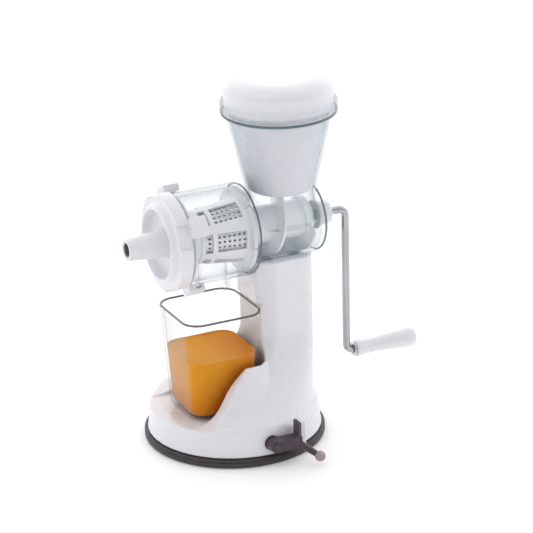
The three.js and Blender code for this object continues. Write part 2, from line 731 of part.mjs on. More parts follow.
function augerShaft() {
  const rear = hubFront + HUB_SOCKET;
  const shaft = asSolid(turnedAlong(disc(DRIVE_RADIUS, shaftFront + GAP, rear), SMALL));
  return cut(shaft, turnedAlong(disc(ROD_RADIUS + GAP, rear - 10, rear + 1), TINY));
}

function shaftSeal() {
  const section = ring(DRIVE_RADIUS + GAP, DRIVE_RADIUS + 8, sealFront, boreStart - GAP);
  return asSolid(turnedAlong(section, SMALL));
}

function crankHub() {
  const flutes = 10;
  const sides = 4 * flutes;
  const points = Array.from({ length: sides }, (_, i) => {
    const angle = (i * 2 * Math.PI) / sides;
    const radius = HUB_RADIUS + 0.5 * Math.cos(flutes * angle);
    return new THREE.Vector2(radius * Math.cos(angle), radius * Math.sin(angle));
  });
  const hub = asSolid(alongBarrel(new THREE.Shape(points), hubFront, hubRear));
  const socketEnd = hubFront + HUB_SOCKET + GAP;
  const socket = turnedAlong(disc(DRIVE_RADIUS + GAP, hubFront - 1, socketEnd), SMALL);
  return cut(hub, socket, turnedAlong(disc(ROD_RADIUS + GAP, hubFront, hubRear + 1), TINY));
}

// The rod's centre line: out of the hub, down, and out again through the grip.
function rodPath() {
  const point = (y, z) => new THREE.Vector3(0, y, z);
  const path = new THREE.CurvePath();
  const start = point(hubFront + HUB_SOCKET - 9, AXIS_HEIGHT);
  const upper = [
    point(ROD_Y - ROD_BEND, AXIS_HEIGHT),
    point(ROD_Y, AXIS_HEIGHT),
    point(ROD_Y, AXIS_HEIGHT - ROD_BEND),
  ];
  const lower = [
    point(ROD_Y, gripZ + ROD_BEND),
    point(ROD_Y, gripZ),
    point(ROD_Y + ROD_BEND, gripZ),
  ];
  path.add(new THREE.LineCurve3(start, upper[0]));
  path.add(new THREE.QuadraticBezierCurve3(...upper));
  path.add(new THREE.LineCurve3(upper[2], lower[0]));
  path.add(new THREE.QuadraticBezierCurve3(...lower));
  path.add(new THREE.LineCurve3(lower[2], point(GRIP_START + GRIP_LENGTH - 6, gripZ)));
  return path;
}

function crankRod() {
  const section = new THREE.Shape();
  section.absarc(0, 0, ROD_RADIUS, 0, 2 * Math.PI, false);
  const path = rodPath();
  const steps = Math.round(path.getLength() / 4.5);
  return asSolid(new THREE.ExtrudeGeometry(section, { steps, extrudePath: path, curveSegments: 4 }));
}

function crankGrip() {
  const at = (share) => GRIP_START + share * GRIP_LENGTH;
  const bore = ROD_RADIUS + GAP;
  const recess = bore + 2.4;
  return asSolid(turnedAlong([
    [bore, at(0)],
    [GRIP_RADIUS - 1.8, at(0)],
    [GRIP_RADIUS - 1.2, at(0.03)],
    [GRIP_RADIUS - 2.1, at(0.25)],
    [GRIP_RADIUS - 1.6, at(0.5)],
    [GRIP_RADIUS - 0.4, at(0.8)],
    [GRIP_RADIUS, at(0.94)],
    [GRIP_RADIUS - 0.9, at(1)],
    [recess, at(1)],
    [recess, at(1) - GRIP_RECESS],
    [bore, at(1) - GRIP_RECESS],
    [bore, at(0)],
  ], SMALL, gripZ));
}

function gripWasher() {
  const end = GRIP_START - GAP;
  return asSolid(turnedAlong(ring(ROD_RADIUS + GAP, ROD_RADIUS + 2.5, end - 1.6, end), SMALL, gripZ));
}

function rivetWasher() {
  const start = GRIP_START + GRIP_LENGTH - GRIP_RECESS + GAP;
  return asSolid(turnedAlong(ring(ROD_RADIUS + GAP, ROD_RADIUS + 2.3, start, start + 1.2), SMALL, gripZ));
}

function gripPlug() {
  const end = GRIP_START + GRIP_LENGTH;
  return asSolid(turnedAlong(disc(ROD_RADIUS + 2.4, end - 4.5, end - 0.2), SMALL, gripZ));
}

// ---- Front cap --------------------------------------------------------------------------------

// The dished front with its nozzle, the ring that seats the strainer's collar, and the rim.
function capDish() {
  const socket = CAGE_COLLAR_RADIUS + GAP;
  const dish = CAP_FRONT + 7;
  const web = dish + WALL;
  const rim = CAP_RADIUS - 3.5;
  return turnedAlong([
    [NOZZLE_BORE, NOZZLE_TIP],
    [NOZZLE_RADIUS, NOZZLE_TIP],
    [NOZZLE_ROOT, dish],
    [rim - 9, dish],
    [rim - 8, CAP_FRONT],
    [rim - 6, CAP_FRONT],
    [rim - 3, CAP_FRONT + 4],
    [rim, CAP_FRONT + 4],
    [rim, capRear],
    [rim - 3.5, capRear],
    [rim - 3.5, web],
    [socket + 2.2, web],
    [socket + 2.2, capRear + 6],
    [socket, capRear + 6],
    [socket, capRear],
    [socket - 3.5, capRear - 3],
    [NOZZLE_BORE, web],
    [NOZZLE_BORE, NOZZLE_TIP],
  ], MIDDLING);
}

// The grip ring: four raised pads with short recesses between them.
function capRing() {
  const shape = new THREE.Shape();
  for (const angle of anglesAround(LUG_COUNT, LUG_ANGLE)) {
    const start = THREE.MathUtils.degToRad(angle + 360 / LUG_COUNT + PAD_START);
    const end = start + THREE.MathUtils.degToRad(PAD_SPREAD);
    const next = start + (2 * Math.PI) / LUG_COUNT;
    shape.absarc(0, 0, CAP_RADIUS, start, end, false);
    shape.absarc(0, 0, CAP_RADIUS - 2.5, end + 0.04, next - 0.04, false);
  }
  shape.closePath();
  const hole = new THREE.Path();
  hole.absarc(0, 0, CAP_RADIUS - 5.5, 0, 2 * Math.PI, true);
  shape.holes.push(hole);
  return alongBarrel(shape, CAP_FRONT + 4, capRear - 2);
}

// A hook that wraps one bayonet pin: open on the side that the pin leaves by.
function capLug(angle) {
  const half = LUG_SPREAD / 2;
  const lug = asSolid(sector(CAP_RADIUS - 5, LUG_RADIUS, angle - half, angle + half, capRear - 2, -33.5));
  const drum = turnedAlong(disc(DRUM_RADIUS + RUNNING, capRear, 0), MIDDLING);
  const top = DRUM_RADIUS + PIN_REACH + RUNNING;
  const low = PIN_Y - PIN_WIDTH / 2 - RUNNING;
  const stop = angle - PIN_SPREAD / 2 - 1.5;
  const channel = sector(DRUM_RADIUS - 1, top, stop, angle + half + 2, low, low + PIN_WIDTH + 2 * RUNNING);
  return cut(lug, drum, channel);
}

function frontCap() {
  const solid = joined(capDish(), capRing());
  const lugs = anglesAround(LUG_COUNT, LUG_ANGLE).map(capLug);
  return lugs.reduce((whole, lug) => whole.add(lug), solid);
}

// ---- Pusher and cup ---------------------------------------------------------------------------

function pusherPlunger() {
  const bottom = throatZ;
  const slant = (MOUTH_RADIUS - THROAT_RADIUS) / (mouthZ - throatZ);
  const radius = (z) => THROAT_RADIUS - RUNNING + (z - throatZ) * slant;
  const top = mouthZ - 1;
  const flange = lipFloor + GAP;
  return asSolid(turnedUpright([
    [0, bottom],
    [radius(bottom) - 1.5, bottom],
    [radius(bottom + 1.5), bottom + 1.5],
    [radius(top), top],
    [radius(top), flange],
    [LIP_RADIUS - LIP_WALL - 2, flange],
    [LIP_RADIUS - LIP_WALL - 2, flange + 1.8],
    [radius(top) - WALL, flange + 1.8],
    [radius(top) - WALL, top],
    [radius(bottom + WALL) - WALL, bottom + WALL],
    [0, bottom + WALL],
  ], MIDDLING, hopperY));
}

// A quarter ellipse from the dome's side to its crown.
function domeArc(radius, reach, base, rise) {
  const steps = 4;
  return Array.from({ length: steps + 1 }, (_, i) => {
    const angle = (i * Math.PI) / 2 / steps;
    return [radius - reach + reach * Math.cos(angle), base + rise * Math.sin(angle)];
  });
}

function pusherCap() {
  const bottom = lipFloor + GAP + 1.8 + GAP;
  const spigot = MOUTH_RADIUS - RUNNING - WALL - 2 * GAP;
  const side = bottom + DOME_SIDE;
  const inside = domeArc(DOME_RADIUS - WALL, DOME_SHOULDER - WALL, side, DOME_CROWN - WALL).reverse();
  return asSolid(turnedUpright([
    [DOME_RADIUS, bottom],
    ...domeArc(DOME_RADIUS, DOME_SHOULDER, side, DOME_CROWN),
    [0, side + DOME_CROWN + 1],
    [0, side + DOME_CROWN - WALL],
    ...inside,
    [DOME_RADIUS - WALL, bottom + 3],
    [spigot - 2, bottom + 3],
    [spigot - 2, bottom - 6],
    [spigot, bottom - 6],
    [spigot, bottom],
    [DOME_RADIUS, bottom],
  ], MIDDLING, hopperY));
}

// A tapered tumbler with a rounded square plan.
function tumbler(half, baseHalf, corner, bottom, top) {
  const geometry = upright(roundedRectangle([-half, half], [-half, half], corner), bottom, top);
  const place = geometry.attributes.position;
  for (let i = 0; i < place.count; i++) {
    const share = (place.getZ(i) - bottom) / (top - bottom);
    const scale = THREE.MathUtils.lerp(baseHalf / half, 1, share);
    place.setXY(i, place.getX(i) * scale, place.getY(i) * scale);
  }
  return geometry.translate(0, CUP_Y, 0);
}

function juiceCup() {
  const outer = asSolid(tumbler(CUP_HALF, CUP_BASE_HALF, CUP_CORNER, cupBase, cupRim));
  const half = CUP_HALF - CUP_WALL;
  const baseHalf = CUP_BASE_HALF - CUP_WALL;
  return cut(outer, tumbler(half, baseHalf, CUP_CORNER - CUP_WALL, cupBase + WALL, cupRim + 0.01));
}

// ---- Materials and the assembly -----------------------------------------------------------------

const white = () => new THREE.MeshStandardMaterial({ color: 0xf2f1f6, roughness: 0.3 });
const clear = () =>
  new THREE.MeshStandardMaterial({ color: 0xd6e4e8, roughness: 0.1, transparent: true, opacity: 0.35 });
const rubber = () => new THREE.MeshStandardMaterial({ color: 0x2c2728, roughness: 0.7 });
const silicone = () => new THREE.MeshStandardMaterial({ color: 0xe6e6e2, roughness: 0.6 });
const dark = () => new THREE.MeshStandardMaterial({ color: 0x332b31, roughness: 0.4 });
const chrome = () => new THREE.MeshStandardMaterial({ color: 0xd8d8dc, roughness: 0.12, metalness: 1 });
const steel = () => new THREE.MeshStandardMaterial({ color: 0xb4b6b8, roughness: 0.35, metalness: 1 });

const pieces = [
  ["stand_shell", standShell, white],
  ["body_screw_front", () => bodyScrew(bossPlaces[0]), steel],
  ["body_screw_rear", () => bodyScrew(bossPlaces[1]), steel],
  ["suction_pad", () => asSolid(suctionPad()), rubber],
  ["suction_stud", suctionStud, white],
  ["cam_shaft", camShaft, steel],
  ["shaft_clip", shaftClip, steel],
  ["suction_lever", lever, dark],
  ["lever_screw", leverScrew, steel],
  ["juicer_body", juicerBody, clear],
  ["shaft_bush", shaftBush, white],
  ["cap_gasket", capGasket, silicone],
  ["strainer_frame", strainerFrame, white],
  ["strainer_mesh", strainerMesh, steel],
  ["auger", auger, white],
  ["auger_shaft", augerShaft, steel],
  ["shaft_seal", shaftSeal, silicone],
  ["crank_hub", crankHub, white],
  ["crank_rod", crankRod, chrome],
  ["grip_washer", gripWasher, steel],
  ["rivet_washer", rivetWasher, steel],
  ["crank_grip", crankGrip, white],
  ["grip_plug", gripPlug, white],
  ["front_cap", frontCap, white],
  ["pusher_plunger", pusherPlunger, white],
  ["pusher_cap", pusherCap, white],
  ["juice_cup", juiceCup, clear],
];

const juicer = new THREE.Group();
for (const [name, make, material] of pieces) {
  const mesh = new THREE.Mesh(asGeometry(make()), material());
  mesh.name = name;
  juicer.add(mesh);
}

export default juicer;
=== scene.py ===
"""A hand-cranked juicer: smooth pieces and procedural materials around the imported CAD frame.

Sizes are in millimetres and follow the CAD source. A piece is scaled to metres when it is made.
"""

import math

import bmesh
import bpy
from mathutils import Matrix, Vector


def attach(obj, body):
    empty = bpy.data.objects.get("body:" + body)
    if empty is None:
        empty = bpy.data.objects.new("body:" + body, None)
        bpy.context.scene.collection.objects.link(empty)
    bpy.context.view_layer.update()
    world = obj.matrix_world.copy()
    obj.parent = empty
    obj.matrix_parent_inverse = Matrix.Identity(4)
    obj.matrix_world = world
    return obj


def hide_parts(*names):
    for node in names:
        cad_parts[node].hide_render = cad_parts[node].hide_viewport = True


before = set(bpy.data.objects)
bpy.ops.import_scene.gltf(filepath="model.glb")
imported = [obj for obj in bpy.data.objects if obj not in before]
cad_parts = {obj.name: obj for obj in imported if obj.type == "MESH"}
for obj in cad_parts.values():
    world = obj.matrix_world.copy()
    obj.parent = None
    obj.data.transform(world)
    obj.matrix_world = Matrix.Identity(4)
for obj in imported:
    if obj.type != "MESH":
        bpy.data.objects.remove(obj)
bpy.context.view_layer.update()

MM = 0.001
SIDES = 112
GAP = 0.3

# Sizes shared by several pieces.
PAD_RADIUS = 70
PAD_HEIGHT = 7
SKIRT_RADIUS = PAD_RADIUS - 2.5
SHOULDER_Z = 28
SHOULDER_TOP = 31
HOUSING_Y = -8
HOUSING_RADIUS = 39.9
HOUSING_TOP = 61.5
BELL_RADIUS = SKIRT_RADIUS - 5.5
BELL_TOP = 84
WALL = 2.5
AXIS = 166
LEVER_AXIS = 16.5
LEVER_HALF_HEIGHT = 4.8
LEVER_LENGTH = 21
HUB_HOLE_RADIUS = 5.4
BALL_RADIUS = 4.15
BAY_FLOOR = 26
RAMP_ANGLE = math.radians(8.5)
CUP_HALF = 32.4
CUP_BASE_HALF = 28
CUP_CORNER = 14
CUP_Y = -18
CUP_BASE = BAY_FLOOR + GAP
CUP_RIM = 108
BAY_REAR = CUP_Y + CUP_HALF + 1.5
COLUMN_TOP = AXIS - 23
BARREL_RADIUS = 28
BARREL_BORE = 25.5
BARREL_REAR = 71
DRUM_RADIUS = 36
DRUM_BORE = 33
DRUM_FRONT = -42
DRUM_REAR = 11.7
HOPPER_Y = 43.9
THROAT_RADIUS = 25
THROAT_Z = AXIS + 27
MOUTH_RADIUS = 38
MOUTH_Z = AXIS + 86
LIP_RADIUS = 44.5
LIP_FLOOR = MOUTH_Z + 4.2
CAP_REAR = DRUM_FRONT - 2
CAP_FRONT = -60
CAP_RADIUS = 38
NOZZLE_TIP = -84.6
LUG_ANGLES = [32 + 90 * i for i in range(4)]
CAGE_FRONT = -31
CAGE_REAR = 5
AUGER_PITCH = 28
AUGER_PHASE = 35
DOME_RADIUS = 41.3
DOME_SHOULDER = 16
DOME_SIDE = 13
DOME_CROWN = 10.5
JUICE_LEVEL = 74
CRANK_Z = AXIS - 119
ROD_RADIUS = 3
HUB_FRONT = BARREL_REAR + 2.4
HUB_REAR = HUB_FRONT + 10.6
GRIP_START = 106
GRIP_END = 158
GRIP_RADIUS = 7.9


# The tent of light: the way that it brightens, and its strength at either end of that reach.
TENT_TILT = (-0.5, 0.24, 0.06)
TENT_REACH = 0.61
TENT_DIM = 0.39
TENT_BRIGHT = 1.62


# ---- Materials ---------------------------------------------------------------------------------

def new_material(name):
    """A material with an empty Principled surface, and its nodes, links and shader."""
    material = bpy.data.materials.new(name)
    material.use_nodes = True
    nodes = material.node_tree.nodes
    return material, nodes, material.node_tree.links, nodes["Principled BSDF"]


def noise(nodes, links, scale, stretch=(1, 1, 1), detail=3):
    """Fine noise over the object's own coordinates."""
    place = nodes.new("ShaderNodeTexCoord")
    mapping = nodes.new("ShaderNodeMapping")
    mapping.inputs["Scale"].default_value = stretch
    texture = nodes.new("ShaderNodeTexNoise")
    texture.inputs["Scale"].default_value = scale
    texture.inputs["Detail"].default_value = detail
    links.new(place.outputs["Object"], mapping.inputs["Vector"])
    links.new(mapping.outputs["Vector"], texture.inputs["Vector"])
    return texture.outputs["Fac"]


def remapped(nodes, links, value, low, high, start=0.3, end=0.7):
    """The value, carried from start..end to low..high."""
    node = nodes.new("ShaderNodeMapRange")
    node.inputs["From Min"].default_value = start
    node.inputs["From Max"].default_value = end
    node.inputs["To Min"].default_value = low
    node.inputs["To Max"].default_value = high
    links.new(value, node.inputs["Value"])
    return node.outputs["Result"]


def colour_ramp(nodes, links, value, stops):
    node = nodes.new("ShaderNodeValToRGB")
    ramp = node.color_ramp
    while len(ramp.elements) < len(stops):
        ramp.elements.new(0.5)
    for element, (position, colour) in zip(ramp.elements, stops):
        element.position = position
        element.color = (*colour, 1)
    links.new(value, node.inputs["Fac"])
    return node.outputs["Color"]


def moulded(name, colour, shade, roughness, grain, bump, stretch=(1, 1, 1), **uniform):
    """A moulded or metal surface whose colour, roughness and relief vary with fine noise."""
    material, nodes, links, shader = new_material(name)
    broad = noise(nodes, links, grain, stretch)
    fine = noise(nodes, links, grain * 6, stretch)
    links.new(colour_ramp(nodes, links, broad, [(0.35, colour), (0.7, shade)]), shader.inputs["Base Color"])
    spread = remapped(nodes, links, fine, roughness * 0.85, roughness * 1.2)
    links.new(spread, shader.inputs["Roughness"])
    relief = nodes.new("ShaderNodeBump")
    relief.inputs["Strength"].default_value = bump
    relief.inputs["Distance"].default_value = 0.0002
    links.new(fine, relief.inputs["Height"])
    links.new(relief.outputs["Normal"], shader.inputs["Normal"])
    for socket, value in uniform.items():
        shader.inputs[socket.replace("_", " ")].default_value = value
    return material


def see_through(name, face, edge, thin, thick, roughness, coat=0.4):
    """Clear plastic: faint where it faces the viewer, and darker and firm where it turns away; that
    darkening is partly the tint of the thicker path and partly painted shade where the edges bend the light
    away.
    """
    material, nodes, links, shader = new_material(name)
    weight = nodes.new("ShaderNodeLayerWeight")
    weight.inputs["Blend"].default_value = 0.5
    facing = weight.outputs["Facing"]
    # The edge colour is partly real tint and partly painted shade at grazing edges.
    links.new(colour_ramp(nodes, links, facing, [(0.25, face), (0.95, edge)]), shader.inputs["Base Color"])
    power = nodes.new("ShaderNodeMath")
    power.operation = "POWER"
    power.inputs[1].default_value = 3.4
    links.new(facing, power.inputs[0])
    links.new(remapped(nodes, links, power.outputs[0], thin, thick, 0, 1), shader.inputs["Alpha"])
    wear = noise(nodes, links, 90)
    links.new(remapped(nodes, links, wear, roughness * 0.7, roughness * 1.4), shader.inputs["Roughness"])
    shader.inputs["IOR"].default_value = 1.5
    shader.inputs["Coat Weight"].default_value = coat
    shader.inputs["Coat Roughness"].default_value = 0.03
    return material


def juice_material():
    """Orange juice with fine pulp, and painted shade: golden at the front left, deep dark orange low down
    at the right, towards the back of the bay.
    """
    material, nodes, links, shader = new_material("juice")
    place = nodes.new("ShaderNodeTexCoord")
    # Painted shade: the colour darkens towards the back of the cup and towards its bottom.
    depth = nodes.new("ShaderNodeVectorMath")
    depth.operation = "DOT_PRODUCT"
    depth.inputs[1].default_value = (0.0, 10.5, -13.0)
    links.new(place.outputs["Object"], depth.inputs[0])
    pulp = noise(nodes, links, 70, detail=5)
    total = nodes.new("ShaderNodeMath")
    total.operation = "MULTIPLY_ADD"
    total.inputs[1].default_value = 0.22
    links.new(pulp, total.inputs[0])
    links.new(remapped(nodes, links, depth.outputs["Value"], 0, 0.8, -1.2, -0.3), total.inputs[2])
    # The dark end of these stops is painted shade.
    stops = [(0.1, (0.8, 0.33, 0.02)), (0.5, (0.66, 0.19, 0.004)), (0.95, (0.27, 0.05, 0.002))]
    links.new(colour_ramp(nodes, links, total.outputs[0], stops), shader.inputs["Base Color"])
    relief = nodes.new("ShaderNodeBump")
    relief.inputs["Strength"].default_value = 0.05
    relief.inputs["Distance"].default_value = 0.0003
    links.new(pulp, relief.inputs["Height"])
    links.new(relief.outputs["Normal"], shader.inputs["Normal"])
    shader.inputs["Roughness"].default_value = 0.45
    shader.inputs["Specular IOR Level"].default_value = 0.04
    shader.inputs["Subsurface Weight"].default_value = 0.05
    shader.inputs["Subsurface Radius"].default_value = (0.012, 0.005, 0.001)
    return material


WHITE = moulded("white_gloss", (0.81, 0.81, 0.845), (0.8, 0.8, 0.838), 0.27, 14, 0.004, Coat_Weight=0.25)
# The white plastic again, made brighter for the cage and the auger inside the clear body: painted light
# that makes up for the shade there.
INSIDE_WHITE_PAINTED_LIGHT = moulded("white_painted_light_inside", (0.92, 0.93, 0.95), (0.9, 0.91, 0.935), 0.32, 16, 0.006)
NYLON = moulded("nylon_natural", (0.74, 0.74, 0.72), (0.68, 0.68, 0.66), 0.5, 120, 0.08)
RUBBER = moulded("pad_black", (0.03, 0.025, 0.028), (0.05, 0.042, 0.046), 0.48, 220, 0.25)
SILICONE = moulded("seal_pale", (0.74, 0.75, 0.74), (0.66, 0.67, 0.66), 0.6, 150, 0.12)
DARK = moulded("lever_dark", (0.04, 0.026, 0.036), (0.075, 0.05, 0.062), 0.34, 130, 0.1)
BALL = moulded("ball_mauve", (0.36, 0.24, 0.29), (0.46, 0.33, 0.38), 0.36, 130, 0.08)
CHROME = moulded("chrome_bright", (0.47, 0.47, 0.49), (0.41, 0.41, 0.43), 0.07, 60, 0.01, Metallic=1.0)
STEEL = moulded(
    "steel_bright", (0.62, 0.63, 0.65), (0.5, 0.51, 0.53), 0.28, 90, 0.1, (1, 1, 14), Metallic=1.0,
)
SHEET = moulded(
    "strainer_steel", (0.74, 0.75, 0.76), (0.6, 0.61, 0.62), 0.3, 110, 0.06, (1, 12, 1), Metallic=0.7,
)
# A dark sleeve's colour: painted shade inside the nozzle's bore.
BORE_PAINTED_SHADE = moulded("nozzle_bore_painted_shade", (0.24, 0.2, 0.19), (0.17, 0.14, 0.13), 0.5, 90, 0.05)
# The dark edge colours of these clear plastics are partly their tint and partly painted shade.
CLEAR = see_through("clear_teal", (0.62, 0.74, 0.78), (0.13, 0.23, 0.27), 0.045, 0.9, 0.05)
# Nearly opaque dark beads at thick clear edges: painted shade where the edges bend the light away.
CLEAR_EDGE_PAINTED_SHADE = see_through("clear_edge_painted_shade", (0.1, 0.17, 0.19), (0.03, 0.06, 0.07), 0.75, 0.97, 0.05)
CUP_CLEAR = see_through("cup_clear", (0.84, 0.87, 0.84), (0.22, 0.22, 0.19), 0.004, 0.7, 0.04, 0.05)
# The cup rim's bead: painted shade.
CUP_RIM_PAINTED_SHADE = see_through("cup_rim_painted_shade", (0.12, 0.1, 0.08), (0.04, 0.03, 0.025), 0.8, 0.97, 0.06)
JUICE = juice_material()


# ---- Shapes: each is a list of points and a list of faces ------------------------------------------

def rounded(profile, radius, steps=4):
    """The profile with its corners eased by up to the radius."""
    closed = profile[0] == profile[-1]
    points = [Vector(p) for p in (profile[:-1] if closed else profile)]
    eased = []
    for i, corner in enumerate(points):
        if not closed and i in (0, len(points) - 1):
            eased.append(corner)
            continue
        before = points[i - 1] - corner
        after = points[(i + 1) % len(points)] - corner
        reach = min(radius, 0.42 * before.length, 0.42 * after.length)
        start = corner + before.normalized() * reach
        end = corner + after.normalized() * reach
        for k in range(steps + 1):
            t = k / steps
            eased.append(start * (1 - t) ** 2 + corner * (2 * t * (1 - t)) + end * t ** 2)
    result = [tuple(p) for p in eased]
    return result + [result[0]] if closed else result


def banded(rows, closed_rows=False):
    """Faces between neighbouring rows of points. A row of one point is a pole."""
    points = []
    starts = []
    for row in rows:
        starts.append(len(points))
        points.extend(row)
    faces = []
    pairs = [(i, i + 1) for i in range(len(rows) - 1)]
    if closed_rows:
        pairs.append((len(rows) - 1, 0))
    for a, b in pairs:
        count = max(len(rows[a]), len(rows[b]))
        for i in range(count):
            j = (i + 1) % count
            low = [starts[a] + i, starts[a] + j] if len(rows[a]) > 1 else [starts[a]]
            high = [starts[b] + j, starts[b] + i] if len(rows[b]) > 1 else [starts[b]]
            faces.append(low + high)
    return points, faces


def on_axis(radius, angle, along, axis, centre):
    """A point at a radius and an angle about a line through the centre along the axis."""
    x, y, z = centre
    across, up = radius * math.cos(angle), radius * math.sin(angle)
    if axis == "Z":
        return (x + across, y + up, z + along)
    if axis == "Y":
        return (x + across, y + along, z + up)
    return (x + along, y + across, z + up)


def turned(profile, axis="Y", centre=(0, 0, AXIS), sides=SIDES):
    """A profile of (radius, along) turned about an axis."""
    closed = profile[0] == profile[-1] and profile[0][0] > 0
    rows = []
    for radius, along in profile[:-1] if closed else profile:
        count = sides if radius > 1e-6 else 1
        turn = [2 * math.pi * i / sides for i in range(count)]
        rows.append([on_axis(radius, a, along, axis, centre) for a in turn])
    return banded(rows, closed)


def upright(profile, y=0, sides=SIDES):
    return turned(profile, "Z", (0, y, 0), sides)


def across(profile, z, sides=48):
    return turned(profile, "X", (0, 0, z), sides)


def ring(inner, outer, start, end):
    """The profile of a ring, closed on itself."""
    return [(inner, start), (outer, start), (outer, end), (inner, end), (inner, start)]


def extruded(outline, axis, start, end):
    """A flat outline carried along an axis. It is in Y and Z for X, X and Z for Y, and X and Y for Z."""
    place = {
        "X": lambda p, d: (d, p[0], p[1]),
        "Y": lambda p, d: (p[0], d, p[1]),
        "Z": lambda p, d: (p[0], p[1], d),
    }[axis]
    count = len(outline)
    points = [place(p, start) for p in outline] + [place(p, end) for p in outline]
    faces = [[i, (i + 1) % count, count + (i + 1) % count, count + i] for i in range(count)]
    faces += [list(range(count)), list(range(count, 2 * count))]
    return points, faces


def block(x, y, z):
    return extruded([(x[0], y[0]), (x[1], y[0]), (x[1], y[1]), (x[0], y[1])], "Z", *z)


def bezier(a, b, c, d, steps=14):
    """Points on a cubic curve, without its first."""
    result = []
    for k in range(1, steps + 1):
        t = k / steps
        weights = ((1 - t) ** 3, 3 * t * (1 - t) ** 2, 3 * t * t * (1 - t), t ** 3)
        result.append(tuple(sum(w * p[i] for w, p in zip(weights, (a, b, c, d))) for i in (0, 1)))
    return result


def rounded_square(half, rear, front, corner, steps=10):
    """A rectangle about X = 0 with rounded corners, from y front to y rear."""
    outline = []
    centres = [
        (half - corner, rear - corner),
        (corner - half, rear - corner),
        (corner - half, front + corner),
        (half - corner, front + corner),
    ]
    for quarter, (x, y) in enumerate(centres):
        for k in range(steps + 1):
            a = math.pi / 2 * (quarter + k / steps)
            outline.append((x + corner * math.cos(a), y + corner * math.sin(a)))
    return outline


def ring_sector(inner, outer, start, end, y0, y1, steps=16):
    """A slice of a ring about the barrel's axis, in degrees from +X towards +Z."""
    turn = [math.radians(start + (end - start) * k / steps) for k in range(steps + 1)]
    outline = [(outer * math.cos(a), AXIS + outer * math.sin(a)) for a in turn]
    outline += [(inner * math.cos(a), AXIS + inner * math.sin(a)) for a in reversed(turn)]
    return extruded(outline, "Y", y0, y1)


def swept(path, radii, sides=28):
    """A round bar along a path of points, closed at both ends."""
    points = [Vector(p) for p in path]
    side = Vector((1, 0, 0))
    rows = [[tuple(points[0])]]
    for i, point in enumerate(points):
        direction = (points[min(i + 1, len(points) - 1)] - points[max(i - 1, 0)]).normalized()
        side = (side - direction * side.dot(direction)).normalized()
        other = direction.cross(side)
        turn = [2 * math.pi * k / sides for k in range(sides)]
        radius = radii[i]
        row = [tuple(point + (side * math.cos(a) + other * math.sin(a)) * radius) for a in turn]
        rows.append(row)
    rows.append([tuple(points[-1])])
    return banded(rows)


# ---- Solids and pieces -----------------------------------------------------------------------------

def solid(shape, name="part"):
    """A loose object from a shape, with its faces turned outwards."""
    points, faces = shape
    mesh = bpy.data.meshes.new(name)
    mesh.from_pydata([[MM * c for c in p] for p in points], [], faces)
    work = bmesh.new()
    work.from_mesh(mesh)
    bmesh.ops.recalc_face_normals(work, faces=work.faces)
    work.to_mesh(mesh)
    work.free()
    obj = bpy.data.objects.new(name, mesh)
    bpy.context.scene.collection.objects.link(obj)
    return obj


def settle(obj):
    """Turns the object's modifiers into its mesh."""
    bpy.context.view_layer.update()
    graph = bpy.context.evaluated_depsgraph_get()
    mesh = bpy.data.meshes.new_from_object(obj.evaluated_get(graph))
    obj.modifiers.clear()
    obj.data = mesh
    return obj


def combine(base, others, operation):
    """Joins, cuts or intersects the base with each of the others, and removes them."""
    for other in others:
        modifier = base.modifiers.new("combine", "BOOLEAN")
        modifier.operation = operation
        modifier.solver = "EXACT"
        modifier.object = other
    settle(base)
    for other in others:
        bpy.data.objects.remove(other)
    return base


def join(*shapes):
    parts = [solid(s) for s in shapes]
    return combine(parts[0], parts[1:], "UNION")


def cut(base, *shapes):
    return combine(base, [solid(s) for s in shapes], "DIFFERENCE")


def softened(obj, voxel, rounds, share=1.0):
    """Remeshes the solid finely and eases its edges, as in a moulding."""
    remesh = obj.modifiers.new("remesh", "REMESH")
    remesh.mode = "VOXEL"
    remesh.voxel_size = voxel * MM
    ease = obj.modifiers.new("ease", "SMOOTH")
    ease.factor = 0.5
    ease.iterations = rounds
    if share < 1:
        lighten = obj.modifiers.new("lighten", "DECIMATE")
        lighten.ratio = share
    return settle(obj)


def finished(obj, name, body, material, slot, nodes=(), crease=38):
    """Names the piece, gives it its material, and ties it to its body and CAD nodes; its slot is not used.
    """
    obj.name = name
    obj.data.name = name
    obj.data.materials.clear()
    obj.data.materials.append(material)
    for polygon in obj.data.polygons:
        polygon.use_smooth = True
        polygon.material_index = 0
    if crease < 180:
        obj.data.set_sharp_from_angle(angle=math.radians(crease))
    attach(obj, body)
    if nodes:
        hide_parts(*nodes)
    return obj


# ---- Stand -----------------------------------------------------------------------------------------

def column_outline(inset, count):
    """Points evenly round the column's section, from the middle of its back and round its left side."""
    half, rear, front, corner, slope = 24 - inset, 62 - inset, 13 + inset, 12 - inset, 7
    path = [(0, rear)]
    for k in range(13):
        a = math.pi / 2 * (1 + k / 12)
        path.append((-half + corner + corner * math.cos(a), rear - corner + corner * math.sin(a)))
    path += [(-half, front + 2 * slope), (-half + slope, front)]
    path += [(-x, y) for x, y in reversed(path)]
    lengths = [math.dist(a, b) for a, b in zip(path, path[1:])]
    total = sum(lengths)
    points = []
    for i in range(count):
        travel = total * i / count
        for length, a, b in zip(lengths, path, path[1:]):
            if travel <= length:
                break
            travel -= length
        share = travel / length if length else 0
        points.append((a[0] + (b[0] - a[0]) * share, a[1] + (b[1] - a[1]) * share))
    return points


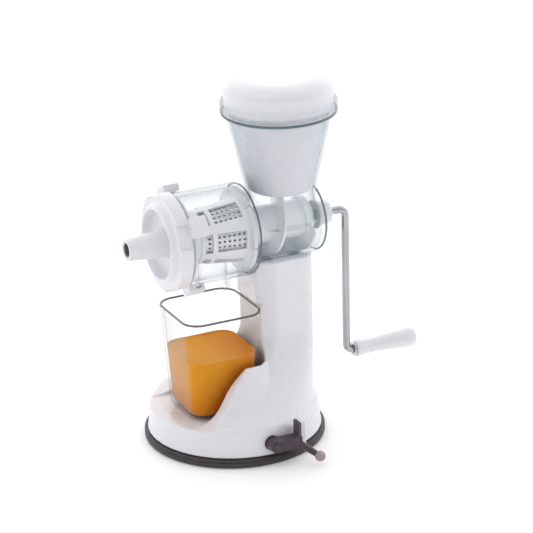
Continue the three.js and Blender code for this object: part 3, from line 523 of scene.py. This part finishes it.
def bell(inset, bottom, top, sides=108, rows=30):
    """Round at the skirt, easing into the column's section."""
    outline = column_outline(inset, sides)
    middle = (13 + 62) / 2
    round_radius = BELL_RADIUS - inset
    levels = []
    for row in range(rows + 1):
        z = bottom + (top - bottom) * (row / rows) ** 1.7
        rise = min(max((z - SHOULDER_TOP) / (BELL_TOP - SHOULDER_TOP), 0), 1)
        ease = 1 - (1 - rise) ** 1.6
        level = []
        for i, (x, y) in enumerate(outline):
            a = 2 * math.pi * i / sides
            x0, y0 = -round_radius * math.sin(a), round_radius * math.cos(a)
            level.append((x0 + (x - x0) * ease, y0 + (y - y0) * ease, z))
        levels.append(level)
    return banded([[(0, 0, bottom)]] + levels + [[(0, middle * ease, z)]])


def front_sweep(margin):
    """The space in front of the swept land: over the deck, up an S, and up the column's face."""
    deck = BAY_FLOOR + 1.5 - margin
    rear = BAY_REAR + margin
    start, bend, end = (-50 + margin, deck), (-25 + margin, deck + 17), (rear, deck + 72.5)
    outline = [(-140, deck - 1), start]
    outline += bezier(start, (-36 + margin, deck), (-31 + margin, deck + 6.5), bend)
    outline += bezier(bend, (-13 + margin, deck + 42.5), (rear, deck + 44.5), end)
    outline += [(rear, CUP_RIM + 1 + margin), (-140, CUP_RIM + 1 + margin)]
    return extruded(outline, "X", -140, 140)


def cup_bay(margin):
    """The bay that the cup stands in, with a floor that ramps up and out at the front."""
    front = CUP_Y - CUP_BASE_HALF - 1.5
    rear = BAY_REAR + margin
    floor = BAY_FLOOR - margin
    top = CUP_RIM + 1 + margin
    far_floor = floor + (front + 140) * math.tan(RAMP_ANGLE)
    half = CUP_HALF + 1.5 + margin
    side_view = [(rear, floor), (rear, top), (-140, top), (-140, far_floor), (front, floor)]
    bay = solid(extruded(side_view, "X", -2 * half, 2 * half))
    plan = solid(extruded(rounded_square(half, rear, -160, CUP_CORNER + margin), "Z", -5, AXIS))
    return combine(bay, [plan], "INTERSECT")


def stand():
    """The moulded stand: skirt, shoulder, bell and column, with the bay, the sweep and the saddle."""
    skirt = rounded([
        (0, 7.3), (SKIRT_RADIUS, 7.3), (SKIRT_RADIUS, 9), (SKIRT_RADIUS - 0.7, 9.5),
        (SKIRT_RADIUS - 2.2, SHOULDER_Z), (SKIRT_RADIUS - 3.2, SHOULDER_Z + 1.8),
        (BELL_RADIUS - 0.2, SHOULDER_TOP + 0.6), (0, SHOULDER_TOP + 0.6),
    ], 0.8)
    housing = [
        (0, SHOULDER_TOP), (BELL_RADIUS - 8, SHOULDER_TOP), (HOUSING_RADIUS, HOUSING_TOP),
        (HOUSING_RADIUS - 3.5, HOUSING_TOP + 5.5), (0, HOUSING_TOP + 5.5),
    ]
    outside = join(upright(skirt), bell(0, SHOULDER_TOP, COLUMN_TOP), upright(housing, HOUSING_Y))
    combine(outside, [solid(front_sweep(0)), cup_bay(0)], "DIFFERENCE")
    ledge_bottom = AXIS - BARREL_RADIUS - 8 - GAP - WALL
    room_radius, ceiling = SKIRT_RADIUS - 4.7, SHOULDER_Z - WALL
    room = [(0, 0), (room_radius, 0), (room_radius, ceiling), (0, ceiling)]
    hollow = join(upright(room), bell(WALL, ceiling - 1, ledge_bottom))
    combine(hollow, [solid(front_sweep(WALL)), cup_bay(WALL)], "DIFFERENCE")
    combine(outside, [hollow], "DIFFERENCE")
    wall = block((60, SKIRT_RADIUS - 3), (-12, 30), (7.3, SHOULDER_Z - 1))
    combine(outside, [solid(wall)], "UNION")
    saddle = turned([(0, -5), (BARREL_RADIUS + GAP, -5), (BARREL_RADIUS + GAP, 76), (0, 76)])
    hub_hole = across([(0, 62.7), (HUB_HOLE_RADIUS, 62.7), (HUB_HOLE_RADIUS, 75), (0, 75)], LEVER_AXIS)
    shaft = across([(0, 50), (4.2, 50), (4.2, 70), (0, 70)], LEVER_AXIS)
    sockets = []
    for y in (HOPPER_Y - 14, HOPPER_Y + 10):
        sockets.append(upright([(0, AXIS - 36.4), (4.6, AXIS - 36.4), (4.6, AXIS), (0, AXIS)], y, 32))
        sockets.append(upright([(0, AXIS - 41), (2.2, AXIS - 41), (2.2, AXIS), (0, AXIS)], y, 24))
    cut(outside, saddle, hub_hole, shaft, *sockets)
    softened(outside, 0.8, 7, 0.5)
    finished(outside, "stand", "base", WHITE, "white_plastic", ["stand_shell"], 180)


def pad():
    profile = rounded([
        (0, 0), (PAD_RADIUS - 1.5, 0), (PAD_RADIUS, 1.5), (PAD_RADIUS, 4.6), (PAD_RADIUS - 0.6, 5),
        (PAD_RADIUS, 5.4), (PAD_RADIUS, PAD_HEIGHT - 1), (PAD_RADIUS - 1, PAD_HEIGHT), (60, PAD_HEIGHT),
        (58, 3), (17, 3), (16, 5.5), (12.4, 5.5), (12.4, 2.2), (0, 2.2),
    ], 0.7)
    finished(solid(upright(profile)), "pad", "base", RUBBER, "pad_rubber", ["suction_pad"])


def lever():
    """A round hub with a block, a thumb tab, and an arm out to a ball."""
    plate, outer = SKIRT_RADIUS - 0.4, SKIRT_RADIUS + 8.6
    inner = SKIRT_RADIUS - 4.5
    half = LEVER_HALF_HEIGHT
    low, high = LEVER_AXIS - half, LEVER_AXIS + half
    hub = across([(0, inner), (half, inner), (half, outer), (0, outer)], LEVER_AXIS)
    arm_block = block((plate, outer), (0, LEVER_LENGTH), (low, high))
    tab = block((plate, outer), (17.5, 20), (high - 1, 32.8))
    body = join(hub, arm_block, tab)
    socket = across([(0, 50), (3.6, 50), (3.6, outer - 3.2), (0, outer - 3.2)], LEVER_AXIS)
    hole = across([(0, 50), (1.8, 50), (1.8, outer + 1), (0, outer + 1)], LEVER_AXIS)
    cut(body, socket, hole)
    softened(body, 0.4, 5, 0.6)
    finished(body, "lever", "lever", DARK, "lever_plastic", ["suction_lever"], 180)
    root = Vector((outer - 3.4, 19, LEVER_AXIS - 1.5))
    ball = Vector((outer + 11, 30, 7.5))
    path = [root.lerp(ball, k / 10) for k in range(11)]
    arm = solid(swept(path, [3 - 0.08 * k for k in range(11)]))
    finished(arm, "lever_arm", "lever", DARK, "lever_plastic")
    turn = [math.pi * k / 20 for k in range(21)]
    knob = [(BALL_RADIUS * math.sin(a), -BALL_RADIUS * math.cos(a)) for a in turn]
    knob[0], knob[-1] = (0, -BALL_RADIUS), (0, BALL_RADIUS)
    finished(solid(turned(knob, "Z", tuple(ball), 40)), "lever_ball", "lever", BALL, "lever_plastic")


# ---- Clear body ------------------------------------------------------------------------------------

def clear_body():
    """The clear drum, barrel, hopper, lip and spout as one body."""
    barrel = rounded([
        (0, DRUM_FRONT), (DRUM_RADIUS, DRUM_FRONT), (DRUM_RADIUS, DRUM_REAR - 2),
        (DRUM_RADIUS - 2, DRUM_REAR),
        (BARREL_RADIUS, DRUM_REAR), (BARREL_RADIUS, BARREL_REAR - 3), (BARREL_RADIUS - 1, BARREL_REAR - 1),
        (BARREL_RADIUS - 3, BARREL_REAR), (0, BARREL_REAR),
    ], 1.6)
    hopper = rounded([
        (0, AXIS), (THROAT_RADIUS + 1.8, AXIS), (THROAT_RADIUS + 1.8, THROAT_Z),
        (MOUTH_RADIUS + 1.8, MOUTH_Z), (LIP_RADIUS, LIP_FLOOR - 1.8), (LIP_RADIUS, LIP_FLOOR + 7),
        (0, LIP_FLOOR + 7),
    ], 1.4)
    bottom = AXIS - DRUM_RADIUS - 7
    spout = [(0, bottom), (13, bottom), (13, AXIS - 29), (0, AXIS - 29)]
    body = join(turned(barrel), upright(hopper, HOPPER_Y), upright(spout, -15, 64))
    bosses = []
    for y in (HOPPER_Y - 14, HOPPER_Y + 10):
        bosses.append(upright([(0, AXIS - 36), (4, AXIS - 36), (4, AXIS - 26), (0, AXIS - 26)], y, 32))
    pins = [
        ring_sector(DRUM_RADIUS - 1, DRUM_RADIUS + 3, a - 3, a + 3, -39.5, -36.5, 4) for a in LUG_ANGLES
    ]
    combine(body, [solid(s) for s in bosses + pins], "UNION")
    drum = rounded([
        (0, DRUM_FRONT - 5), (DRUM_BORE, DRUM_FRONT - 5), (DRUM_BORE, DRUM_REAR - WALL),
        (0, DRUM_REAR - WALL),
    ], 1)
    bore = [(0, 0), (BARREL_BORE, 0), (BARREL_BORE, BARREL_REAR - 5), (0, BARREL_REAR - 5)]
    end = [(0, 0), (8.5, 0), (8.5, BARREL_REAR + 5), (0, BARREL_REAR + 5)]
    inside = rounded([
        (0, AXIS), (THROAT_RADIUS, AXIS), (THROAT_RADIUS, THROAT_Z), (MOUTH_RADIUS, MOUTH_Z),
        (MOUTH_RADIUS, LIP_FLOOR), (LIP_RADIUS - 1.7, LIP_FLOOR), (LIP_RADIUS - 1.7, LIP_FLOOR + 9),
        (0, LIP_FLOOR + 9),
    ], 0.6)
    tube = [(0, bottom - 1), (11, bottom - 1), (11, AXIS - 20), (0, AXIS - 20)]
    cutters = [turned(drum), turned(bore), turned(end, sides=48)]
    cut(body, *cutters, upright(inside, HOPPER_Y), upright(tube, -15, 64))
    finished(body, "clear_body", "base", CLEAR, "clear_body", ["juicer_body"])


def bead(name, radius, thickness, axis, centre, material, body, slot):
    """A thin dark bead round an edge: painted shade where a thick clear edge bends the light away."""
    turn = [math.pi * k / 6 for k in range(12)]
    profile = [(radius + thickness * math.cos(a), thickness * math.sin(a)) for a in turn]
    profile.append(profile[0])
    finished(solid(turned(profile, axis, centre)), name, body, material, slot, (), 180)


def clear_edges():
    """The edges where the thick clear wall bends the light away and looks dark, drawn as beads of painted
    shade.
    """
    lip = (0, HOPPER_Y, LIP_FLOOR - 1.6)
    bead("lip_edge", LIP_RADIUS - 1.15, 1.1, "Z", lip, CLEAR_EDGE_PAINTED_SHADE, "base", "clear_body")
    shoulder = (0, DRUM_REAR - 1.3, AXIS)
    bead("drum_shoulder", DRUM_RADIUS - 1.3, 0.7, "Y", shoulder, CLEAR_EDGE_PAINTED_SHADE, "base", "clear_body")
    rear = (0, BARREL_REAR - 1.9, AXIS)
    bead("barrel_edge", BARREL_RADIUS - 1.8, 0.7, "Y", rear, CLEAR_EDGE_PAINTED_SHADE, "base", "clear_body")


def rings():
    """Small turned pieces that only differ in their profile."""
    seal_front = BARREL_REAR - 5 - GAP - 2.4
    seal = ring(5.3, 13, seal_front, BARREL_REAR - 5.3)
    gasket = ring(33.3, 35.7, -43.7, -42.3)
    bush = [
        (5.3, 66.3), (8.2, 66.3), (8.2, 71.3), (11.2, 71.3), (11.2, 73), (5.3, 73), (5.3, 66.3),
    ]
    grip = (0, 0, CRANK_Z)
    plain = (0, 0, AXIS)
    table = [
        ("bush", bush, plain, NYLON, "nylon", "base", "shaft_bush"),
        ("gasket", gasket, plain, SILICONE, "seal_rubber", "base", "cap_gasket"),
        ("seal", seal, plain, SILICONE, "seal_rubber", "drive", "shaft_seal"),
        ("inner_washer", ring(3.3, 5.5, 104.1, 105.7), grip, STEEL, "steel", "drive", "grip_washer"),
        ("rivet", ring(3.3, 5.3, 149.3, 150.5), grip, STEEL, "steel", "drive", "rivet_washer"),
    ]
    for name, profile, centre, material, slot, body, node in table:
        obj = solid(turned(rounded(profile, 0.5), "Y", centre, 72))
        finished(obj, name, body, material, slot, [node])


# ---- Strainer --------------------------------------------------------------------------------------

def cage_radius(y):
    return 20.3 + (25 - 20.3) * (y - CAGE_FRONT) / (CAGE_REAR - CAGE_FRONT)


def turned_block(x, y, half, angle):
    """A block that reaches out along X, turned about the barrel's axis from +X towards +Z."""
    points, faces = block(x, y, (-half, half))
    c, s = math.cos(math.radians(angle)), math.sin(math.radians(angle))
    return [(px * c - pz * s, py, AXIS + px * s + pz * c) for px, py, pz in points], faces


def strainer():
    """The cage with its windows and keyways, and the perforated sheet inside it."""
    flange = DRUM_BORE - GAP
    rear = DRUM_REAR - WALL - GAP
    front = CAP_REAR + 0.6
    profile = rounded([
        (19.5, front), (19.5, CAGE_FRONT - 1), (20.3, CAGE_FRONT), (25, CAGE_REAR),
        (flange, CAGE_REAR + 0.8),
        (flange, rear), (23, rear), (23, CAGE_REAR), (18.3, CAGE_FRONT), (17, CAGE_FRONT - 1), (17, front),
        (19.5, front),
    ], 0.6)
    cage = solid(turned(profile))
    openings = []
    for i in range(6):
        angle = 60 * i
        openings.append(turned_block((10, 28), (CAGE_REAR - 24, CAGE_REAR - 1.5), 7.5, angle))
        openings.append(turned_block((10, 28), (CAGE_FRONT + 2.5, CAGE_REAR - 27.5), 7.5, angle))
        openings.append(turned_block((flange - 5, flange + 1), (CAGE_REAR, rear + 1), 0.8, 50 + angle))
    cut(cage, *openings)
    # Painted light: the cage gets the brightened white.
    finished(cage, "strainer_cage", "base", INSIDE_WHITE_PAINTED_LIGHT, "white_plastic", ["strainer_frame"], 30)
    finished(solid(perforated()), "strainer_sheet", "base", SHEET, "steel", ["strainer_mesh"], 30)


def perforated(columns=9, around=32, corners=12):
    """A tapered sheet with a round hole in each cell, as one closed skin."""
    front, rear = CAGE_FRONT + 0.5, CAGE_REAR - 0.5
    hole = 1.1
    thick = 0.8
    points = []
    faces = []
    seen = {}

    def place(y, arc, depth):
        """A point by its place along the sleeve, its turn in radians, and its depth in the sheet."""
        key = (round(y, 4), round(arc % (2 * math.pi), 5), depth)
        if key not in seen:
            radius = cage_radius(y) - 2.3 - (thick if depth else 0)
            seen[key] = len(points)
            points.append((radius * math.cos(arc), y, AXIS + radius * math.sin(arc)))
        return seen[key]

    pitch = (rear - front) / columns
    half_turn = math.pi / around
    for column in range(columns):
        y = front + pitch * (column + 0.5)
        for cell in range(around):
            arc = 2 * half_turn * cell
            edge = []
            rim = []
            for k in range(corners):
                a = 2 * math.pi * k / corners + math.pi / 4
                scale = 1 / max(abs(math.cos(a)), abs(math.sin(a)))
                edge.append((y + math.cos(a) * scale * pitch / 2, arc + math.sin(a) * scale * half_turn))
                reach = hole / cage_radius(y)
                rim.append((y + math.cos(a) * hole, arc + math.sin(a) * reach))
            for k in range(corners):
                n = (k + 1) % corners
                for depth in (0, 1):
                    quad = [place(*p, depth) for p in (edge[k], edge[n], rim[n], rim[k])]
                    faces.append(quad if depth else quad[::-1])
                faces.append([place(*rim[k], 0), place(*rim[n], 0), place(*rim[n], 1), place(*rim[k], 1)])
                runs_round = abs(edge[k][0] - edge[n][0]) < 1e-9
                at_an_end = abs(edge[k][0] - (front + rear) / 2) > (rear - front) / 2 - 1e-6
                if runs_round and at_an_end:
                    start, stop = edge[k], edge[n]
                    faces.append([place(*start, 0), place(*stop, 0), place(*stop, 1), place(*start, 1)])
    return points, faces


# ---- Auger and crank -------------------------------------------------------------------------------

def smooth_step(value, low, high):
    t = min(max((value - low) / (high - low), 0), 1)
    return t * t * (3 - 2 * t)


def auger():
    """A round core with one flight that winds left-handed and shrinks inside the strainer."""
    sides, rows = 180, 240
    core, flight = 14.5, BARREL_BORE - 0.6
    rear_end = BARREL_REAR - 5 - GAP - 2.4 - GAP
    rear = rear_end - 2
    levels = []
    for row in range(rows + 1):
        y = CAGE_FRONT + (rear - CAGE_FRONT) * row / rows
        room = cage_radius(min(y, CAGE_REAR)) - 2 - 0.8 - 1.2
        scale = min(room / flight, 1) if y < DRUM_REAR - WALL else 1
        crest = 2 * math.pi * (y - AUGER_PHASE) / AUGER_PITCH
        level = []
        for k in range(sides):
            a = 2 * math.pi * k / sides
            away = abs((a - crest + math.pi) % (2 * math.pi) - math.pi)
            radius = core + (flight - core) * (1 - smooth_step(away, 0.24, 0.5))
            level.append(on_axis(radius * scale, a, y, "Y", (0, 0, AXIS)))
        levels.append(level)
    screw = solid(banded([[(0, CAGE_FRONT, AXIS)]] + levels + [[(0, rear, AXIS)]]))
    nose = turned(rounded([(0, CAP_REAR), (3.5, CAP_REAR), (9, CAGE_FRONT + 1), (0, CAGE_FRONT + 1)], 1))
    collar = turned([(0, rear - 3), (16.5, rear - 3), (16.5, rear_end), (0, rear_end)])
    combine(screw, [solid(nose), solid(collar)], "UNION")
    bore = [(0, rear_end - 44), (5.3, rear_end - 44), (5.3, rear_end + 1), (0, rear_end + 1)]
    cut(screw, turned(bore, sides=48))
    # Painted light: the auger gets the brightened white.
    finished(screw, "screw_auger", "drive", INSIDE_WHITE_PAINTED_LIGHT, "white_plastic", ["auger"], 45)


def drive_shaft():
    front, rear = BARREL_REAR - 52, HUB_FRONT + 8
    socket = rear - 10
    profile = rounded([(0, front), (5, front), (5, rear), (3.3, rear), (3.3, socket), (0, socket)], 0.5)
    finished(solid(turned(profile, sides=64)), "drive_shaft", "drive", STEEL, "steel", ["auger_shaft"])


def hub():
    """The fluted hub that joins the crank to the shaft."""
    sides = 120
    profile = rounded([(5.3, HUB_FRONT), (8.5, HUB_FRONT), (8.5, HUB_REAR), (3.3, HUB_REAR)], 1.2)
    profile += [(3.3, HUB_FRONT + 8.3), (5.3, HUB_FRONT + 8.3)]
    rows = []
    for radius, y in profile:
        row = []
        for k in range(sides):
            a = 2 * math.pi * k / sides
            flute = 0.5 * math.cos(10 * a) if radius > 7 else 0
            row.append(on_axis(radius + flute, a, y, "Y", (0, 0, AXIS)))
        rows.append(row)
    finished(solid(banded(rows, True)), "hub", "drive", WHITE, "white_plastic", ["crank_hub"])


def rod():
    """The bent chrome rod from the hub down and out through the grip."""
    y, bend = 98.7, 6
    start = HUB_FRONT - 1
    path = [(0, start + (y - bend - start) * k / 8, AXIS) for k in range(9)]
    corner = [(y - bend, AXIS), (y - 0.45 * bend, AXIS), (y, AXIS - 0.45 * bend), (y, AXIS - bend)]
    path += [(0, *p) for p in bezier(*corner, 10)]
    span = AXIS - CRANK_Z - 2 * bend
    path += [(0, y, AXIS - bend - span * k / 24) for k in range(1, 25)]
    ease = 0.45 * bend
    corner = [(y, CRANK_Z + bend), (y, CRANK_Z + ease), (y + ease, CRANK_Z), (y + bend, CRANK_Z)]
    path += [(0, *p) for p in bezier(*corner, 10)]
    end = GRIP_END - 6.4
    path += [(0, y + bend + (end - y - bend) * k / 10, CRANK_Z) for k in range(1, 11)]
    bar = solid(swept(path, [ROD_RADIUS] * len(path), 36))
    finished(bar, "rod", "drive", CHROME, "chrome", ["crank_rod"], 60)


def handle():
    """The grip, waisted near the rod and fullest near its end, with the plug in its recess."""
    length = GRIP_END - GRIP_START
    shape = [
        (0, 6.1), (0.03, 6.7), (0.14, 6.1), (0.25, 5.8), (0.5, 6.3), (0.65, 6.9), (0.8, 7.5),
        (0.94, GRIP_RADIUS), (1, 7),
    ]
    outer = [(radius, GRIP_START + share * length) for share, radius in shape]
    profile = [(3.3, GRIP_START)] + outer
    profile += [(5.7, GRIP_END), (5.7, GRIP_END - 9), (3.3, GRIP_END - 9), (3.3, GRIP_START)]
    grip = solid(turned(rounded(profile, 2.2), "Y", (0, 0, CRANK_Z), 80))
    finished(grip, "grip", "grip", WHITE, "white_plastic", ["crank_grip"])
    front, rear = GRIP_END - 4.5, GRIP_END - 0.2
    plug = rounded([(0, front), (5.4, front), (5.4, rear), (0, rear)], 0.8)
    made = solid(turned(plug, "Y", (0, 0, CRANK_Z), 64))
    finished(made, "plug", "grip", WHITE, "white_plastic", ["grip_plug"])


# ---- Front cap -------------------------------------------------------------------------------------

def front_cap():
    """The dished cap: nozzle, grip ring with raised pads, and four hooks over the drum's pins."""
    socket = 19.8
    dish = CAP_FRONT + 7
    rim = CAP_RADIUS - 3.5
    profile = [
        (5.6, NOZZLE_TIP), (8.4, NOZZLE_TIP), (11, dish), (rim - 9, dish), (rim - 8, CAP_FRONT),
        (rim - 6, CAP_FRONT), (rim - 3, CAP_FRONT + 4), (rim, CAP_FRONT + 4), (rim, CAP_REAR),
        (rim - 3.5, CAP_REAR), (rim - 3.5, dish + WALL), (socket + 2.2, dish + WALL),
        (socket + 2.2, CAP_REAR + 6), (socket, CAP_REAR + 6), (socket, CAP_REAR),
        (socket - 3.5, CAP_REAR - 3), (5.6, dish + WALL), (5.6, NOZZLE_TIP),
    ]
    cap = solid(turned(profile))
    band = (CAP_FRONT + 4, CAP_REAR - 2)
    pads = [ring_sector(32.5, CAP_RADIUS, a + 97, a + 157, *band, 24) for a in LUG_ANGLES]
    belt = turned(ring(32.5, CAP_RADIUS - 2.5, *band))
    hooks = []
    for a in LUG_ANGLES:
        hook = solid(ring_sector(CAP_RADIUS - 5, 42.5, a - 11, a + 11, CAP_REAR - 2, -33.5))
        drum = turned([(0, CAP_REAR), (DRUM_RADIUS + 0.7, CAP_REAR), (DRUM_RADIUS + 0.7, 0), (0, 0)])
        channel = ring_sector(DRUM_RADIUS - 1, DRUM_RADIUS + 3.8, a - 4.5, a + 13, -40.2, -35.8)
        hooks.append(cut(hook, drum, channel))
    combine(cap, [solid(belt)] + [solid(p) for p in pads] + hooks, "UNION")
    softened(cap, 0.55, 4, 0.5)
    finished(cap, "cap", "cap", WHITE, "white_plastic", ["front_cap"], 180)
    # A thin dark sleeve inside the nozzle's bore: painted shade, not a part of the cap.
    shade_sleeve = ring(4.9, 5.5, -83.9, dish)
    finished(solid(turned(rounded(shade_sleeve, 0.2), sides=64)), "nozzle_shade_sleeve", "cap", BORE_PAINTED_SHADE, "white_plastic")


# ---- Pusher ----------------------------------------------------------------------------------------

def pusher():
    """The tapered plunger in the hopper and the dome that closes it."""
    slant = (MOUTH_RADIUS - THROAT_RADIUS) / (MOUTH_Z - THROAT_Z)

    def radius(z):
        return THROAT_RADIUS - 0.6 + (z - THROAT_Z) * slant

    top = MOUTH_Z - 1
    flange = LIP_FLOOR + GAP
    edge = LIP_RADIUS - 1.7 - 2
    plunger = rounded([
        (0, THROAT_Z), (radius(THROAT_Z) - 1.5, THROAT_Z), (radius(THROAT_Z + 1.5), THROAT_Z + 1.5),
        (radius(top), top), (radius(top), flange), (edge, flange), (edge, flange + 1.8),
        (radius(top) - WALL, flange + 1.8), (radius(top) - WALL, top),
        (radius(THROAT_Z + WALL) - WALL, THROAT_Z + WALL), (0, THROAT_Z + WALL),
    ], 0.8)
    made = solid(upright(plunger, HOPPER_Y))
    finished(made, "plunger", "pusher", WHITE, "white_plastic", ["pusher_plunger"])
    bottom = flange + 1.8 + GAP
    side = bottom + DOME_SIDE
    spigot = MOUTH_RADIUS - 0.6 - WALL - 0.6
    outer = dome_arc(DOME_RADIUS, DOME_SHOULDER, side, DOME_CROWN)
    inner = dome_arc(DOME_RADIUS - WALL, DOME_SHOULDER - WALL, side, DOME_CROWN - WALL)
    profile = [(DOME_RADIUS, bottom)] + outer + [(0, side + 11.5), (0, side + 8)] + inner[::-1]
    profile += [
        (38.8, bottom + 3), (spigot - 2, bottom + 3), (spigot - 2, bottom - 6), (spigot, bottom - 6),
        (spigot, bottom), (DOME_RADIUS, bottom),
    ]
    made = solid(upright(dome_profile(profile), HOPPER_Y))
    finished(made, "dome", "pusher", WHITE, "white_plastic", ["pusher_cap"])


def dome_arc(radius, reach, base, rise, steps=16):
    """A quarter ellipse from the dome's side to its crown."""
    turn = [math.pi / 2 * k / steps for k in range(steps + 1)]
    return [(radius - reach + reach * math.cos(a), base + rise * math.sin(a)) for a in turn]


def dome_profile(profile):
    """The dome's section from its crown inside, round its rim, to its crown outside."""
    split = next(i for i, (r, _) in enumerate(profile) if r == 0)
    return profile[split + 1:-1] + profile[:split + 1]


# ---- Cup and juice ---------------------------------------------------------------------------------

def cup_row(half, z, corner):
    """One level of the cup's rounded square, at its place in the bay."""
    outline = rounded_square(half, half, -half, corner, 12)
    return [(x, y + CUP_Y, z) for x, y in outline]


def cup_half(z):
    return CUP_BASE_HALF + (CUP_HALF - CUP_BASE_HALF) * (z - CUP_BASE) / (CUP_RIM - CUP_BASE)


def cup():
    """The clear tapered cup with an eased foot and rim, and a bead of painted shade along its rim."""
    wall, floor = 2, WALL
    levels = [(CUP_BASE, -2.2), (CUP_BASE + 0.5, -1.1), (CUP_BASE + 1.5, -0.3), (CUP_BASE + 3, 0)]
    levels += [(CUP_BASE + 3 + (CUP_RIM - CUP_BASE - 4) * k / 20, 0) for k in range(1, 21)]
    levels += [(CUP_RIM - 0.3, -0.2), (CUP_RIM, -0.7)]
    outer = [cup_row(cup_half(z) + ease, z, CUP_CORNER) for z, ease in levels]
    down = [(CUP_RIM, 0.6 - wall), (CUP_RIM - 0.4, 0.1 - wall)]
    down += [(CUP_RIM - 1 - (CUP_RIM - CUP_BASE - floor - 4) * k / 20, -wall) for k in range(21)]
    down += [(CUP_BASE + floor + 1, -wall - 0.8), (CUP_BASE + floor, -wall - 2.6)]
    inner = [cup_row(cup_half(z) + ease, z, CUP_CORNER - wall) for z, ease in down]
    rows = [[(0, CUP_Y, CUP_BASE)]] + outer + inner + [[(0, CUP_Y, CUP_BASE + floor)]]
    finished(solid(banded(rows)), "cup", "cup", CUP_CLEAR, "clear_cup", ["juice_cup"], 60)
    # A dark bead round the rim: painted shade where the thick clear rim bends the light away.
    rim = []
    for k in range(10):
        a = 2 * math.pi * k / 10
        half, height = CUP_HALF - 1 + 0.8 * math.cos(a), CUP_RIM - 0.85 + 0.8 * math.sin(a)
        rim.append(cup_row(half, height, CUP_CORNER - 1))
    finished(solid(banded(rim, True)), "cup_rim", "cup", CUP_RIM_PAINTED_SHADE, "clear_cup", (), 180)


def juice():
    """The juice: it fills the cup to a level with a small rise at the wall."""
    low, level = CUP_BASE + WALL + 0.15, JUICE_LEVEL
    rows = [[(0, CUP_Y, low)]]
    heights = [(low, -5), (low + 1, -3), (low + 3, -2.2)]
    heights += [(low + 3 + (level - low - 3) * k / 14, -2.2) for k in range(1, 15)]
    rows += [cup_row(cup_half(z) + ease, z, CUP_CORNER - 2.2) for z, ease in heights]
    for inset, drop in ((2.9, 0.5), (4.5, 0.8)):
        rows.append(cup_row(cup_half(level) - inset, level - drop, CUP_CORNER - 3))
    rows.append([(0, CUP_Y, level - 0.8)])
    finished(solid(banded(rows)), "juice", "cup", JUICE, "clear_cup", (), 50)


# ---- Hidden CAD nodes, camera, light and floor -----------------------------------------------------

def dress_frame():
    """Materials for the small CAD nodes that stay as they are."""
    for name in ("body_screw_front", "body_screw_rear", "cam_shaft", "shaft_clip"):
        repaint(name, STEEL)
    repaint("suction_stud", NYLON)
    repaint("lever_screw", DARK)


def repaint(name, material):
    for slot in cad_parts[name].material_slots:
        slot.material = material


def camera():
    azimuth, elevation, roll = math.radians(64.415), math.radians(21.441), math.radians(-1.401)
    target = Vector((0, 30.616, 130.921)) * MM
    back = Vector((
        math.cos(elevation) * math.sin(azimuth),
        -math.cos(elevation) * math.cos(azimuth),
        math.sin(elevation),
    ))
    right = Vector((math.cos(azimuth), math.sin(azimuth), 0))
    up = back.cross(right)
    turned_right = right * math.cos(roll) + up * math.sin(roll)
    turned_up = up * math.cos(roll) - right * math.sin(roll)
    data = bpy.data.cameras.new("camera")
    data.sensor_width = 36
    data.lens = 2566.37 * 36 / 533
    data.clip_end = 20
    obj = bpy.data.objects.new("camera", data)
    turn = Matrix((turned_right, turned_up, back)).transposed()
    obj.matrix_world = Matrix.Translation(target + back * 1.9614) @ turn.to_4x4()
    bpy.context.scene.collection.objects.link(obj)
    bpy.context.scene.camera = obj


def area_light(name, place, aim, size, power):
    data = bpy.data.lights.new(name, "AREA")
    data.shape = "DISK"
    data.size = size
    data.energy = power
    obj = bpy.data.objects.new(name, data)
    obj.location = place
    obj.rotation_euler = (Vector(aim) - Vector(place)).to_track_quat("-Z", "Y").to_euler()
    bpy.context.scene.collection.objects.link(obj)


def studio():
    """A white tent that is brighter above and behind, and darker on the side that faces the viewer."""
    bpy.context.scene.view_settings.view_transform = "Standard"
    world = bpy.data.worlds.new("studio")
    bpy.context.scene.world = world
    world.use_nodes = True
    nodes, links = world.node_tree.nodes, world.node_tree.links
    place = nodes.new("ShaderNodeTexCoord")
    tilt = nodes.new("ShaderNodeVectorMath")
    tilt.operation = "DOT_PRODUCT"
    tilt.inputs[1].default_value = TENT_TILT
    links.new(place.outputs["Generated"], tilt.inputs[0])
    strength = remapped(nodes, links, tilt.outputs["Value"], TENT_DIM, TENT_BRIGHT, -TENT_REACH, TENT_REACH)
    links.new(strength, nodes["Background"].inputs["Strength"])
    nodes["Background"].inputs["Color"].default_value = (0.985, 0.985, 1, 1)
    area_light("key", (0.1, -0.7, 1.9), (0, 0, 0.13), 0.9, 1.8)
    floor = solid(block((-4000, 4000), (-4000, 4000), (-20, -0.2)), "floor")
    material, nodes, links, shader = new_material("floor_white")
    tone = noise(nodes, links, 3)
    links.new(colour_ramp(nodes, links, tone, [(0.3, (0.85, 0.85, 0.85)), (0.7, (0.87, 0.87, 0.87))]),
              shader.inputs["Base Color"])
    shader.inputs["Roughness"].default_value = 0.7
    shader.inputs["Emission Color"].default_value = (1, 1, 1, 1)
    shader.inputs["Emission Strength"].default_value = 0.22
    floor.data.materials.append(material)


camera()
studio()
stand()
pad()
lever()
clear_body()
clear_edges()
rings()
strainer()
auger()
drive_shaft()
hub()
rod()
handle()
front_cap()
pusher()
cup()
juice()
dress_frame()
